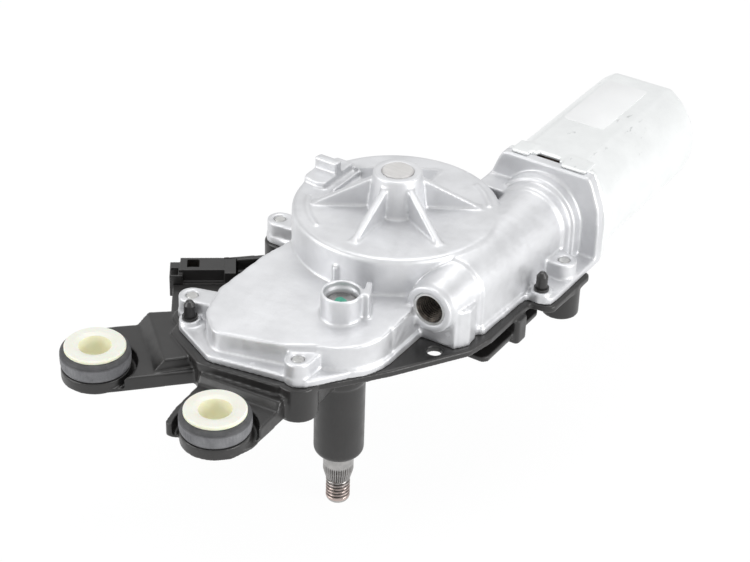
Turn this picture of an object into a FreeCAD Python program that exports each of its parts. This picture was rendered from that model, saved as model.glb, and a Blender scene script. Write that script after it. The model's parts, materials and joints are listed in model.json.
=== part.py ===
import FreeCAD, Part
import math
import os

from FreeCAD import Placement, Rotation, Vector

# Rear wiper motor, in millimetres.
# Plan positions are measured from the wiper spindle's axis, and heights in this script from
# the parting plane, where the cast gear housing sits on the moulded base cover.
# Each piece is lifted as it is written, so the part's origin lies on the spindle axis at the
# shoulder where the wiper arm's seat begins, just outside the end of the spindle tube.
# +Y runs along the motor from the gearbox to the can, +Z points away from the wiper arm.

# Clearances
press_gap = 0.0
running_gap = 0.05
axial_gap = 0.1
seat_gap = 0.3
static_gap = 0.1

# Worm drive
gear_module = 1.2
wheel_teeth = 45
worm_pitch_radius = 4.5
worm_turns = 5
worm_shaft_radius = 3.0
wheel_width = 9.0
tooth_thinning = 0.25
pressure_angle = 20.0

# Sector drive of the spindle
sector_module = 1.25
pinion_teeth = 14
sector_full_teeth = 28
sector_bearing_angle = 150.0
sector_thickness = 4.0
sector_edge_margin = 13.0
pinion_height = 4.8
spindle_sweep = 110.0
link_pin_radius = 2.0
link_pin_reach = 12.8
link_pin_mid_angle = -23.0
link_thickness = 2.0
link_width = 7.0
crank_pin_radius = 2.0
sector_pin_radius = 3.0
sector_hub_radius = 4.8

# Places
wheel_x = -9.0
wheel_y = 45.5
motor_axis_height = 13.5

# Spindle
spindle_radius = 5.0
spindle_top = 16.5
spindle_tube_length = 41.5
spindle_tube_radius = 8.2
spindle_tube_root_radius = 8.6
spindle_tube_root_length = 12.0
spindle_tube_rounding = 2.6
spindle_groove_radius = 4.7
spindle_shoulder_gap = 0.3
spindle_bare_length = 8.0
spindle_cone_length = 5.0
spindle_thread_radius = 4.0
spindle_thread_length = 6.2
bush_wall = 2.0
lower_bush_length = 12.0
upper_bush_length = 10.0
seal_height = 2.5
washer_thickness = 0.8

# Cast gear housing
flange_thickness = 2.5
casting_wall = 2.2
deck_height = 11.6
deck_rise = 0.07
deck_edge_fillet = 1.2
dome_radius = 34.0
dome_height = 25.5
dome_edge_fillet = 1.5
dome_flange_rim = 2.4
hub_boss_radius = 7.9
hub_boss_top = 38.4
axle_radius = 3.0
hub_bush_radius = 5.0
hub_cap_radius = 5.15
hub_cap_thickness = 2.0
rib_count = 6
rib_thickness = 2.4
rib_reach = 27.5
rib_bearing = -88.0
spindle_boss_radius = 6.6
spindle_boss_top = 20.2
spindle_arc_radius = 17.6
spindle_arc_rim = 0.9

# Worm tube and motor flange of the casting
tube_front = 30.3
tube_front_radius = 10.8
tube_rear = 78.0
tube_rear_radius = 12.6
tube_bore_radius = 6.8
end_block_front = 17.8
end_block_radius = 8.2
end_block_taper = 1.9
end_ring_front = 14.7
end_ring_radius = 8.0
end_bore_radius = 5.5
lining_wall = 1.4
motor_face_front = 87.0
motor_face_thickness = 4.0
step_one_radius = 13.4
step_one_length = 4.4
step_two_radius = 14.8
shoulder_top = 22.2
brush_chamber_wall = 2.2
gearcase_bearing_length = 8.0
bearing_radius = 6.3

# Screws and pegs that hold the base cover to the casting
screw_places = [(-47.8, -13.3), (-0.3, -23.1), (-51.7, 40.8), (39.1, 73.2), (-20.0, 85.0)]
screw_radius = 2.1
screw_head_radius = 3.3
screw_head_height = 3.2
screw_boss_radius = 4.3
screw_boss_height = 8.0
peg_places = [(-44.1, -19.5), (38.8, 58.9)]
peg_radius = 1.9
peg_pad_radius = 3.5
peg_pad_height = 1.4
peg_collar_radius = 2.5
peg_collar_height = 0.8
peg_height = 10.4

# Base cover
cover_thickness = 2.4
cover_wall = 2.2
skirt_depth = 11.0
cup_radii = [6.2, 6.4, 5.2, 6.2, 6.2]
cup_depth = 12.0
spare_hole_radius = 2.5
spare_hole_place = (25.7, 14.2)
arm_top = -5.6
arm_thickness = 4.9

# Rubber mounts
eye_places = [(-11.5, -50.3), (-61.9, -44.8)]
eye_ring_radius = 11.0
eye_hole_radius = 8.25
pocket_radius = 13.0
pocket_floor = 1.0
grommet_flange_radius = 11.2
grommet_flange_top = -0.2
grommet_flange_bottom = -5.2
grommet_lip_radius = 9.3
grommet_lip_height = 1.4
eye_ring_height = 3.9
sleeve_radius = 7.0
sleeve_bore_radius = 5.2
sleeve_flange_radius = 9.7
sleeve_flange_height = 1.2

# Connector
connector_mouth = (-73.9, 8.6)
connector_angle = 35.4
connector_length = 22.0
connector_width = 9.4
connector_top = -2.2
connector_height = 9.6
connector_step = 4.4
connector_rail_width = 7.0
connector_nose_length = 3.4
connector_flange_length = 3.8
connector_wall = 1.1
connector_depth = 10.0
terminal_setback = 4.0
shelf_floor = -12.4
terminal_count = 3
terminal_thickness = 0.8
terminal_width = 1.6
terminal_pitch = 1.9

# Motor
can_radius = 21.75
can_flat = 19.0
can_wall = 1.6
can_length = 71.0
can_edge_fillet = 4.5
can_cup_radius = 8.2
can_cup_length = 3.0
can_collar_thickness = 2.0
collar_notch_depth = 1.6
collar_notch_length = 1.5
can_slot_length = 10.0
can_slot_width = 0.8
magnet_thickness = 3.8
magnet_span = 110.0
magnet_length = 40.0
air_gap = 0.5
core_length = 34.0
core_slots = 12
winding_length = 8.0
commutator_radius = 8.0
commutator_length = 11.0
brush_width = 4.0
brush_height = 5.0
brush_length = 7.0

# Gasket and park switch
gasket_width = 1.0
gasket_height = 0.8
park_ring_inner = 16.0
park_ring_outer = 21.0
park_ring_thickness = 0.6
wheel_web = 3.6
wheel_rim = 4.5
wheel_hub_wall = 8.0
park_spring_thickness = 0.5
park_spring_width = 2.4

# Worked out from the sizes above
wheel_radius = gear_module * wheel_teeth / 2
worm_lead = math.pi * gear_module
worm_root_radius = worm_pitch_radius - 1.2 * gear_module
worm_tip_radius = worm_pitch_radius + 0.9 * gear_module
motor_x = wheel_x + wheel_radius + worm_pitch_radius
wheel_place = Vector(wheel_x, wheel_y, 0)
wheel_low = motor_axis_height - wheel_width / 2
wheel_high = motor_axis_height + wheel_width / 2
pinion_radius = sector_module * pinion_teeth / 2
sector_radius = sector_module * sector_full_teeth / 2
sector_ratio = -pinion_teeth / sector_full_teeth
sector_sweep = spindle_sweep * sector_ratio
sector_bearing = math.radians(sector_bearing_angle)
sector_place = Vector(math.cos(sector_bearing), math.sin(sector_bearing), 0) * (
    pinion_radius + sector_radius)
washer_top = washer_thickness
pinion_low = washer_top + axial_gap
pinion_high = pinion_low + pinion_height
sector_low = pinion_low + 0.5
sector_high = sector_low + sector_thickness
link_low = sector_high + 0.5
link_high = link_low + link_thickness
motor_face_rear = motor_face_front + motor_face_thickness
dome_ceiling = dome_height - casting_wall
screw_head_top = -cover_thickness - 1.2
lower_bush_low = -spindle_tube_length + 1.2 + seal_height + axial_gap


def cylinder(radius, length, base, along=(0, 0, 1)):
    return Part.makeCylinder(radius, length, Vector(*base), Vector(*along))


def cone(radius_low, radius_high, length, base, along=(0, 0, 1)):
    return Part.makeCone(radius_low, radius_high, length, Vector(*base), Vector(*along))


def tube(outer, inner, length, base, along=(0, 0, 1)):
    return cylinder(outer, length, base, along).cut(cylinder(inner, length, base, along))


def box(low, high):
    size = [high[i] - low[i] for i in range(3)]
    return Part.makeBox(size[0], size[1], size[2], Vector(*low))


def joined(shapes):
    whole = shapes[0]
    for shape in shapes[1:]:
        whole = whole.fuse(shape)
    return whole.removeSplitter()


def loop(corners, height=0.0):
    """A closed outline from (x, y, corner radius), each corner rounded by a tangent arc."""
    count = len(corners)
    points = [Vector(corner[0], corner[1], height) for corner in corners]
    starts, mids, ends = [], [], []
    for i in range(count):
        here = points[i]
        before = (points[i - 1] - here)
        after = (points[(i + 1) % count] - here)
        room = min(before.Length, after.Length) * 0.48
        before.normalize()
        after.normalize()
        half = math.acos(max(-1, min(1, before.dot(after)))) / 2
        radius = corners[i][2]
        setback = radius / math.tan(half) if radius else 0.0
        if setback > room:
            setback = room
            radius = setback * math.tan(half)
        if setback < 1e-4:
            starts.append(here)
            mids.append(None)
            ends.append(here)
            continue
        inward = before + after
        inward.normalize()
        starts.append(here + before * setback)
        ends.append(here + after * setback)
        mids.append(here + inward * (radius / math.sin(half) - radius))
    edges = []
    for i in range(count):
        if mids[i] is not None:
            edges.append(Part.Arc(starts[i], mids[i], ends[i]).toShape())
        following = starts[(i + 1) % count]
        if (following - ends[i]).Length > 1e-6:
            edges.append(Part.LineSegment(ends[i], following).toShape())
    return Part.Wire(edges)


def slab(corners, low, high):
    return Part.Face(loop(corners, low)).extrude(Vector(0, 0, high - low))


def turned(profile, base=(0, 0, 0), along="z"):
    """A solid of revolution from (radius, height) points, about Z or about Y."""
    points = [Vector(radius, 0, height) for radius, height in profile]
    wire = Part.makePolygon(points + [points[0]])
    solid = Part.Face(wire).revolve(Vector(0, 0, 0), Vector(0, 0, 1), 360)
    turn = Rotation(Vector(1, 0, 0), -90 if along == "y" else 0)
    solid.Placement = Placement(Vector(*base), turn)
    return solid


def motor_turned(profile):
    """A solid of revolution about the motor's axis from (radius, y) points."""
    return turned(profile, (motor_x, 0, motor_axis_height), "y")


def motor_cylinder(radius, start, end):
    return cylinder(radius, end - start, (motor_x, start, motor_axis_height), (0, 1, 0))


def gear_points(teeth, module, space_angle, twist=0.0):
    """Tooth outline with a tooth space centred on space_angle, in radians."""
    pitch = module * teeth / 2
    flank = math.tan(math.radians(pressure_angle))
    half_pitch = (math.pi * module / 2 - tooth_thinning) / 2
    depths = [(pitch - 1.25 * module, 1.25 * module), (pitch, 0.0), (pitch + module, -module)]
    points = []
    for tooth in range(teeth):
        middle = space_angle + twist + (tooth + 0.5) * 2 * math.pi / teeth
        rows = [(radius, (half_pitch + depth * flank * (0.75 if depth > 0 else 1.1)) / radius)
                for radius, depth in depths]
        for radius, half in rows:
            points.append((radius, middle - half))
        for radius, half in reversed(rows):
            points.append((radius, middle + half))
    return [Vector(radius * math.cos(angle), radius * math.sin(angle), 0)
            for radius, angle in points]


def gear(teeth, module, space_angle, thickness, lead_slope=0.0):
    """A gear standing on Z = 0; lead_slope is the teeth's sideways run per unit of height."""
    twist = lead_slope * thickness / (module * teeth / 2)
    low = gear_points(teeth, module, space_angle, -twist / 2)
    if not twist:
        return Part.Face(Part.makePolygon(low + [low[0]])).extrude(Vector(0, 0, thickness))
    high = [point + Vector(0, 0, thickness)
            for point in gear_points(teeth, module, space_angle, twist / 2)]
    wires = [Part.makePolygon(points + [points[0]]) for points in (low, high)]
    return Part.makeLoft(wires, True, True)


def on_circle(centre, radius, degrees):
    angle = math.radians(degrees)
    return Vector(centre.x + radius * math.cos(angle), centre.y + radius * math.sin(angle), 0)


def link_layout():
    """Crank radius, link length and rest places of the link's two pins.

    At each end of the sweep the crank and the link lie in one line with the wheel's axis.
    """
    half = abs(sector_sweep) / 2
    rest = on_circle(sector_place, link_pin_reach, link_pin_mid_angle + half)
    far = on_circle(sector_place, link_pin_reach, link_pin_mid_angle - half)
    near_span = (wheel_place - rest).Length
    far_span = (wheel_place - far).Length
    crank = (far_span - near_span) / 2
    length = (far_span + near_span) / 2
    direction = (wheel_place - rest)
    direction.normalize()
    return crank, length, rest, rest + direction * length


crank_radius, link_length, link_pin_place, crank_pin_place = link_layout()


def deck_cap(lowering):
    """All space below the deck's sloping top, lowered by the given amount."""
    reach = 200.0
    points = []
    for y in (-reach, reach):
        points.append(Vector(-reach, y, deck_height + deck_rise * y - lowering))
    points.append(Vector(-reach, reach, -reach))
    points.append(Vector(-reach, -reach, -reach))
    return Part.Face(Part.makePolygon(points + [points[0]])).extrude(Vector(2 * reach, 0, 0))


def deck_corners(inset):
    right = spindle_arc_radius + 0.2 - inset
    return [(-35.6 + inset, 26.0, 0.0), (-38.8 + inset, 13.0, 6.0), (-40.3 + inset, -9.0, 8.0),
            (-36.5 + inset, -21.5 + inset, 6.0), (-28.5 + inset, -28.5 + inset, 5.0),
            (-6.0, -22.3 + inset, 8.0), (2.0, -spindle_arc_radius + inset, 6.0),
            (right * 0.8, -right * 0.5, 6.0), (right, 3.0, 6.0), (right, wheel_y - 20, 0.0),
            (wheel_x, wheel_y, 0.0)]


def deck_body(inset, low):
    high = deck_height + dome_radius
    body = slab(deck_corners(inset), low, high)
    body = body.fuse(cylinder(spindle_arc_radius - inset, high - low, (0, 0, low)))
    return body.common(deck_cap(inset))


def arch(radius, y, low=0.0):
    """An arch outline across the motor's axis, with upright sides down to the given height."""
    left = Vector(motor_x - radius, y, low)
    right = Vector(motor_x + radius, y, low)
    spring_left = Vector(motor_x - radius, y, motor_axis_height)
    spring_right = Vector(motor_x + radius, y, motor_axis_height)
    crown = Vector(motor_x, y, motor_axis_height + radius)
    edges = [Part.LineSegment(left, spring_left).toShape(),
             Part.Arc(spring_left, crown, spring_right).toShape(),
             Part.LineSegment(spring_right, right).toShape(),
             Part.LineSegment(right, left).toShape()]
    return Part.Wire(edges)


def arch_body(radius_front, radius_rear, front, rear, low=0.0):
    return Part.makeLoft([arch(radius_front, front, low), arch(radius_rear, rear, low)], True, True)


def motor_face(front, rear, shrink=0.0):
    """The eight-sided flange that carries the motor can."""
    centre = motor_axis_height + 1.9
    corners = [(-21.5, -14.0, 2.0), (-20.0, -16.2, 1.5), (20.0, -16.2, 1.5), (21.5, -14.0, 2.0),
               (21.5, -3.0, 5.0), (20.6, 5.5, 3.0), (17.6, 13.5, 2.0), (16.0, 16.2, 1.5),
               (-16.0, 16.2, 1.5), (-17.6, 13.5, 2.0), (-20.6, 5.5, 3.0), (-21.5, -3.0, 5.0)]
    scaled = [(x - math.copysign(shrink, x), -(y - math.copysign(shrink, y)), radius)
              for x, y, radius in corners]
    plate = slab(scaled, 0, rear - front)
    plate.Placement = Placement(Vector(motor_x, front, centre), Rotation(Vector(1, 0, 0), -90))
    return plate


def lobe(place, towards, radius, low, high, spread=1.0):
    """A rounded lug round a screw that runs back towards the body."""
    start = Vector(place[0], place[1], 0)
    end = Vector(towards[0], towards[1], 0)
    run = end - start
    side = Vector(-run.y, run.x, 0)
    side.normalize()
    corners = [start + side * radius, start - side * radius, end - side * radius * spread,
               end + side * radius * spread]
    web = slab([(point.x, point.y, 0) for point in corners], low, high)
    return web.fuse(cylinder(radius, high - low, (place[0], place[1], low)))


def lobe_targets():
    """The spot inside the body that each screw's lug runs back to."""
    return [(-30.0, -8.0), (-0.3, -10.0), (-30.0, 43.0), (24.0, 73.2), (wheel_x - 4, wheel_y + 25)]


def casting_flange():
    worm_side = motor_x + tube_front_radius + 0.9
    corners = [(-46.4, -22.7, 2.0), (-28.5, -31.5, 4.0), (-5.0, -27.2, 2.0), (4.0, -26.0, 2.0),
               (12.0, -14.5, 3.0), (18.5, 0.0, 4.0), (18.6, end_block_front, 0.0),
               (31.0, end_block_front + 10.2, 0.0),
               (worm_side, tube_front - 0.4, 1.5), (worm_side + 1.0, 55.6, 1.5),
               (43.6, 56.2, 3.0), (44.0, motor_face_rear, 0.5), (1.0, motor_face_rear, 0.5),
               (0.0, 80.0, 3.0), (wheel_x, wheel_y, 0.0), (-42.4, 22.0, 2.0),
               (-42.9, -6.0, 1.0), (-50.0, -8.0, 4.0)]
    parts = [slab(corners, 0, flange_thickness),
             cylinder(dome_radius + dome_flange_rim, flange_thickness, (wheel_x, wheel_y, 0)),
             cylinder(spindle_arc_radius + spindle_arc_rim, flange_thickness, (0, 0, 0))]
    for place, target in zip(screw_places, lobe_targets()):
        parts.append(lobe(place, target, screw_boss_radius + 0.3, 0, flange_thickness, 1.5))
    for place in peg_places:
        parts.append(cylinder(peg_pad_radius, flange_thickness + peg_pad_height,
                              (place[0], place[1], 0)))
    return parts


def screw_bosses():
    bosses = []
    for place, target in zip(screw_places, lobe_targets()):
        run = Vector(target[0] - place[0], target[1] - place[1], 0)
        run.normalize()
        near = (place[0] + run.x * 8, place[1] + run.y * 8)
        bosses.append(lobe(place, near, screw_boss_radius, 0, screw_boss_height))
    return bosses


def dome_ribs():
    foot = dome_height - 0.5
    crest = hub_boss_top - 2.2
    outline = [(0, foot), (rib_reach, foot), (rib_reach, dome_height + 0.3),
               (hub_boss_radius - 0.3, crest), (0, crest)]
    points = [Vector(along, -rib_thickness / 2, height) for along, height in outline]
    rib = Part.Face(Part.makePolygon(points + [points[0]])).extrude(Vector(0, rib_thickness, 0))
    ribs = []
    for number in range(rib_count):
        copy = rib.copy()
        copy.rotate(Vector(0, 0, 0), Vector(0, 0, 1), rib_bearing + number * 360 / rib_count)
        copy.translate(wheel_place)
        ribs.append(copy)
    return ribs


def clip_block():
    """The block at the dome's edge: a low step in front, a high cheek behind, and a thin
    ridge beside them, with the groove for the cable clip in between."""
    low = dome_height - 1.0
    groove_left = wheel_x - 24.6
    groove_right = wheel_x - 21.4
    left = wheel_x - dome_radius
    front = wheel_y - 5.7
    middle = wheel_y + 1.8
    back = wheel_y + 12.1
    cheek_thickness = 3.1
    step = slab([(left, front + 1, 0.0), (groove_left - 3.5, front, 2.0),
                 (groove_left, front + 0.5, 0.8), (groove_left, back, 0.0), (left, back, 0.0)],
                low, dome_height + 2.1)
    cheek = slab([(left, middle, 0.0), (groove_left, middle, 0.5),
                  (groove_left, middle + cheek_thickness, 0.5),
                  (left, middle + cheek_thickness, 0.0)], low, dome_height + 6.2)
    ridge = box((groove_right, front + 0.2, low), (groove_right + 1.2, back - 0.1, dome_height + 1.6))
    limit = cylinder(dome_radius - 0.5, 10, (wheel_x, wheel_y, low))
    return joined([step, cheek, ridge]).common(limit)


def dome_arcs():
    """Two low curved ridges on the dome's roof, near its edge."""
    arcs = []
    for radius, first, last in ((29.0, -156.0, -119.0), (30.0, 33.0, 61.0)):
        ring = tube(radius + 0.5, radius - 0.5, 0.9, (wheel_x, wheel_y, dome_height - 0.4))
        middle = (first + last) / 2
        rays = [on_circle(wheel_place, 60, angle) for angle in (first, middle, last)]
        sector = slab([(wheel_x, wheel_y, 0)] + [(ray.x, ray.y, 0) for ray in rays], 0, 60)
        arcs.append(ring.common(sector))
    return arcs


def rounded_dome():
    dome = cylinder(dome_radius, dome_height, (wheel_x, wheel_y, 0))
    rims = [edge for edge in dome.Edges
            if edge.BoundBox.ZMin > dome_height - 0.01 and edge.Curve.TypeId == "Part::GeomCircle"]
    return dome.makeFillet(dome_edge_fillet, rims)


def gear_housing():
    parts = casting_flange()
    parts.append(deck_body(0.0, 0.0))
    parts.append(rounded_dome())
    parts.append(cone(hub_boss_radius + 1.9, hub_boss_radius, hub_boss_top - dome_ceiling,
                      (wheel_x, wheel_y, dome_ceiling)))
    parts.extend(dome_ribs())
    parts.append(clip_block())
    parts.extend(dome_arcs())
    parts.append(cylinder(spindle_boss_radius, spindle_boss_top - 5, (0, 0, 5)))
    parts.append(slab([(5.8, 2.0, 0.0), (8.5, 2.0, 0.6), (8.3, 3.6, 1.0), (4.9, 9.8, 0.5),
                       (3.2, 9.0, 0.5), (5.4, 4.4, 0.0)], 5, spindle_boss_top))
    parts.append(box((-10.5, wheel_y - dome_radius - 1.2, 8),
                     (-9.1, wheel_y - dome_radius + 3, spindle_boss_top - 0.6)))
    parts.append(arch_body(end_block_radius, end_block_radius + end_block_taper, end_block_front,
                           tube_front + 0.5))
    parts.append(motor_cylinder(end_ring_radius, end_ring_front, tube_front))
    parts.append(slab([(20.0, end_block_front, 0.0), (28.9, end_block_front, 1.0),
                       (31.4, end_block_front + 1.2, 1.0), (33.4, end_block_front + 4.5, 1.5),
                       (32.9, end_block_front + 9.4, 1.0), (31.0, end_block_front + 10.2, 0.0),
                       (20.0, end_block_front + 10.2, 0.0)], 0, motor_axis_height))
    parts.append(arch_body(tube_front_radius, tube_rear_radius, tube_front, tube_rear))
    step_end = tube_rear + step_one_length
    parts.append(arch_body(step_one_radius, step_one_radius, tube_rear, step_end))
    parts.append(arch_body(step_two_radius, step_two_radius, step_end, motor_face_front + 1))
    parts.append(box((motor_x - 20.6, tube_rear, 0), (motor_x, motor_face_front + 1, shoulder_top)))
    parts.append(motor_face(motor_face_front, motor_face_rear))
    parts.extend(screw_bosses())
    body = joined(parts)
    return housing_holes(body)


def housing_holes(body):
    cavity = deck_body(casting_wall, -1.0).fuse(
        cylinder(dome_radius - casting_wall, dome_ceiling + 1, (wheel_x, wheel_y, -1)))
    pin = (sector_place.x, sector_place.y)
    bush_low = wheel_high + seat_gap
    keep = [cylinder(spindle_radius + bush_wall + 0.5, deck_height, (0, 0, pinion_high + seat_gap)),
            cylinder(sector_pin_radius + 2.5, deck_height, (pin[0], pin[1], link_high + 0.7)),
            cylinder(hub_bush_radius + 2.2, dome_height, (wheel_x, wheel_y, bush_low))]
    for shape in keep:
        cavity = cavity.cut(shape)
    bearing_end = motor_face_front - 3
    cuts = [cavity,
            motor_cylinder(end_bore_radius, end_ring_front - 1, tube_front + 1),
            motor_cylinder(tube_bore_radius, tube_front + 0.5, bearing_end - gearcase_bearing_length),
            motor_cylinder(bearing_radius, tube_front + 1, motor_face_rear + 1),
            motor_cylinder(step_one_radius - brush_chamber_wall, bearing_end, motor_face_rear + 1),
            cylinder(spindle_radius + running_gap, 40, (0, 0, 0)),
            cylinder(spindle_radius + 0.7, 5, (0, 0, spindle_top + 1.2)),
            cylinder(hub_bush_radius, hub_bush_top() - bush_low + 1, (wheel_x, wheel_y, bush_low - 1)),
            cylinder(hub_cap_radius, hub_boss_top, (wheel_x, wheel_y, hub_bush_top())),
            cylinder(sector_pin_radius, sector_pin_top() - link_high, (pin[0], pin[1], link_high))]
    for place in screw_places:
        cuts.append(cylinder(screw_radius, 40, (place[0], place[1], -1)))
    for place in peg_places:
        cuts.append(cylinder(peg_radius + static_gap, 40, (place[0], place[1], -1)))
    for shape in cuts:
        body = body.cut(shape)
    return body


def hub_bush_top():
    return hub_boss_top - 4.4


def hub_bush():
    """The bronze bush in the dome's boss, in which the worm wheel's axle turns."""
    low = wheel_high + seat_gap
    return tube(hub_bush_radius, axle_radius + running_gap, hub_bush_top() - low,
                (wheel_x, wheel_y, low))


def hub_cap():
    """The round plug that shows on top of the dome's boss."""
    top = hub_boss_top + 0.4
    profile = [(0, hub_boss_top - hub_cap_thickness), (hub_cap_radius, hub_boss_top - hub_cap_thickness),
               (hub_cap_radius, top - 0.4), (hub_cap_radius - 0.4, top), (0, top)]
    return turned(profile, (wheel_x, wheel_y, 0))


def sector_pin_top():
    return deck_height + deck_rise * sector_place.y - 1.2


def wheel_axle():
    """The steel axle, pressed into the worm wheel and turning in the dome's bush."""
    low = wheel_low + 0.3
    high = clip_low() + clip_thickness() + 0.9
    profile = [(0, low), (axle_radius - 0.3, low), (axle_radius, low + 0.3),
               (axle_radius, high - 0.3), (axle_radius - 0.3, high), (0, high)]
    axle = turned(profile, (wheel_x, wheel_y, 0))
    return axle.cut(tube(axle_radius + 1, axle_radius - 0.5, clip_thickness(),
                         (wheel_x, wheel_y, clip_low())))


def clip_thickness():
    return 0.8


def clip_low():
    return hub_bush_top() + axial_gap


def axle_clip():
    """The retaining ring above the bush, which keeps the wheel up on its axle."""
    base = (wheel_x, wheel_y, clip_low())
    ring = tube(axle_radius + 1.5, axle_radius - 0.5, clip_thickness(), base)
    return ring.cut(box((wheel_x - 0.9, wheel_y - axle_radius - 3, clip_low() - 1),
                        (wheel_x + 0.9, wheel_y, clip_low() + 2)))


def worm_wheel():
    slope = worm_lead / (2 * math.pi * worm_pitch_radius)
    wheel = gear(wheel_teeth, gear_module, 0.0, wheel_width, slope)
    wheel.translate(Vector(wheel_x, wheel_y, wheel_low))
    rim_inner = wheel_radius - wheel_rim
    hub = axle_radius + wheel_hub_wall
    for low in (wheel_low - 1, motor_axis_height + wheel_web / 2):
        recess = tube(rim_inner, hub, wheel_width / 2 - wheel_web / 2 + 1, (wheel_x, wheel_y, low))
        wheel = wheel.cut(recess)
    for number in range(8):
        hole = on_circle(wheel_place, hub + 2.2, 22.5 + number * 45)
        wheel = wheel.cut(cylinder(1.5, wheel_width, (hole.x, hole.y, wheel_low)))
    wheel = wheel.cut(cylinder(axle_radius, wheel_width + 2, (wheel_x, wheel_y, wheel_low - 1)))
    return wheel.cut(cylinder(crank_pin_radius, 5.5,
                              (crank_pin_place.x, crank_pin_place.y, wheel_low - 1)))


def park_ring():
    """The contact ring under the wheel's web, with the gap that marks the parked place."""
    web_low = motor_axis_height - wheel_web / 2
    low = web_low - park_ring_thickness
    ring = tube(park_ring_outer, park_ring_inner, park_ring_thickness, (wheel_x, wheel_y, low))
    notch = box((wheel_x - 3.5, wheel_y + (park_ring_inner + park_ring_outer) / 2, low - 1),
                (wheel_x + 3.5, wheel_y + park_ring_outer + 2, low + 2))
    return ring.cut(notch)


def park_contacts():
    """Two leaf springs that stand on the cover and reach up to the contact ring."""
    tip = motor_axis_height - wheel_web / 2 - park_ring_thickness - axial_gap
    thick = park_spring_thickness
    outline = [(0, 0), (5.0, 0), (5.0, thick), (thick, thick), (thick, tip - 2.6),
               (9.0, tip - 0.9), (10.6, tip - thick), (10.6, tip), (9.6, tip), (0, tip - 2.0)]
    points = [Vector(along, 0, height) for along, height in outline]
    springs = []
    for track in (park_ring_inner + 1.3, park_ring_outer - 1.3):
        leaf = Part.Face(Part.makePolygon(points + [points[0]]))
        leaf = leaf.extrude(Vector(0, park_spring_width * 0.7, 0))
        leaf.translate(Vector(wheel_x - 8, wheel_y + track - park_spring_width * 0.35, 0))
        springs.append(leaf)
    return Part.makeCompound(springs)


def crank_pin():
    """The wheel's crank pin; it stops just above the link, where the linkage is opened."""
    low = link_high + seat_gap
    return cylinder(crank_pin_radius, wheel_low + 4.5 - low,
                    (crank_pin_place.x, crank_pin_place.y, low))


def crank_link():
    ends = (link_pin_place, crank_pin_place)
    along = crank_pin_place - link_pin_place
    along.normalize()
    side = Vector(-along.y, along.x, 0) * (link_width * 0.4)
    corners = [ends[0] + side, ends[0] - side, ends[1] - side, ends[1] + side]
    link = slab([(point.x, point.y, 0) for point in corners], link_low, link_high)
    for end, pin in zip(ends, (link_pin_radius, crank_pin_radius)):
        link = link.fuse(cylinder(link_width / 2 + 0.6, link_thickness, (end.x, end.y, link_low)))
    for end, pin in zip(ends, (link_pin_radius, crank_pin_radius)):
        link = link.cut(cylinder(pin + running_gap, link_thickness, (end.x, end.y, link_low)))
    return link.removeSplitter()


def link_pin():
    base = (link_pin_place.x, link_pin_place.y, 0)
    head = link_high + axial_gap
    profile = [(0, sector_low), (link_pin_radius, sector_low), (link_pin_radius, head),
               (link_pin_radius + 0.9, head), (link_pin_radius + 0.9, head + 0.5),
               (0, head + 0.5)]
    return turned(profile, base)


def sector_gear():
    """The toothed sector; its teeth reach past the mesh point by a margin at both ends."""
    mesh = sector_bearing_angle + 180
    space = math.radians(mesh)
    full = gear(sector_full_teeth, sector_module, space, sector_thickness)
    reach = 3 * sector_radius
    first = mesh - sector_edge_margin
    last = mesh + abs(sector_sweep) + sector_edge_margin
    rays = [on_circle(Vector(0, 0, 0), reach, angle)
            for angle in (first, (first + last) / 2, last)]
    wedge = slab([(0, 0, 0)] + [(ray.x, ray.y, 0) for ray in rays], 0, sector_thickness)
    plate = full.common(wedge)
    plate.translate(Vector(sector_place.x, sector_place.y, sector_low))
    hub = cylinder(sector_hub_radius, link_high + seat_gap - sector_low,
                   (sector_place.x, sector_place.y, sector_low))
    disc = cylinder(sector_hub_radius + 2.2, sector_thickness,
                    (sector_place.x, sector_place.y, sector_low))
    sector = joined([plate, disc, hub])
    sector = sector.cut(cylinder(sector_pin_radius + running_gap, 20,
                                 (sector_place.x, sector_place.y, sector_low - 1)))
    return sector.cut(cylinder(link_pin_radius, 20,
                               (link_pin_place.x, link_pin_place.y, sector_low - 1)))


def sector_pin():
    return cylinder(sector_pin_radius, sector_pin_top() - seat_gap,
                    (sector_place.x, sector_place.y, seat_gap))


def output_pinion():
    towards_sector = sector_bearing
    half_tooth = math.pi / pinion_teeth
    pinion = gear(pinion_teeth, sector_module, towards_sector + half_tooth, pinion_height)
    pinion.translate(Vector(0, 0, pinion_low))
    return pinion.cut(cylinder(spindle_radius, pinion_height, (0, 0, pinion_low)))


def output_spindle():
    shoulder = -spindle_tube_length - spindle_shoulder_gap
    cone_top = shoulder - spindle_bare_length
    thread_top = cone_top - spindle_cone_length
    tip = thread_top - spindle_thread_length
    chamfer = 0.8
    profile = [(0, tip), (spindle_thread_radius - chamfer, tip),
               (spindle_thread_radius, tip + chamfer), (spindle_thread_radius, thread_top),
               (spindle_radius, cone_top), (spindle_radius, shoulder),
               (spindle_groove_radius, shoulder), (spindle_groove_radius, shoulder + 0.8),
               (spindle_radius, shoulder + 0.8), (spindle_radius, spindle_top - 0.6),
               (spindle_radius - 0.6, spindle_top), (0, spindle_top)]
    return turned(profile)


def spindle_washer():
    return tube(pinion_radius - 1.0, spindle_radius + static_gap, washer_thickness, (0, 0, 0))


def spindle_bush(top, length):
    return tube(spindle_radius + bush_wall, spindle_radius + running_gap, length,
                (0, 0, top - length))


def spindle_seal():
    return tube(spindle_radius + bush_wall - running_gap, spindle_radius + running_gap,
                seal_height, (0, 0, -spindle_tube_length + 1.2))


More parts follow.
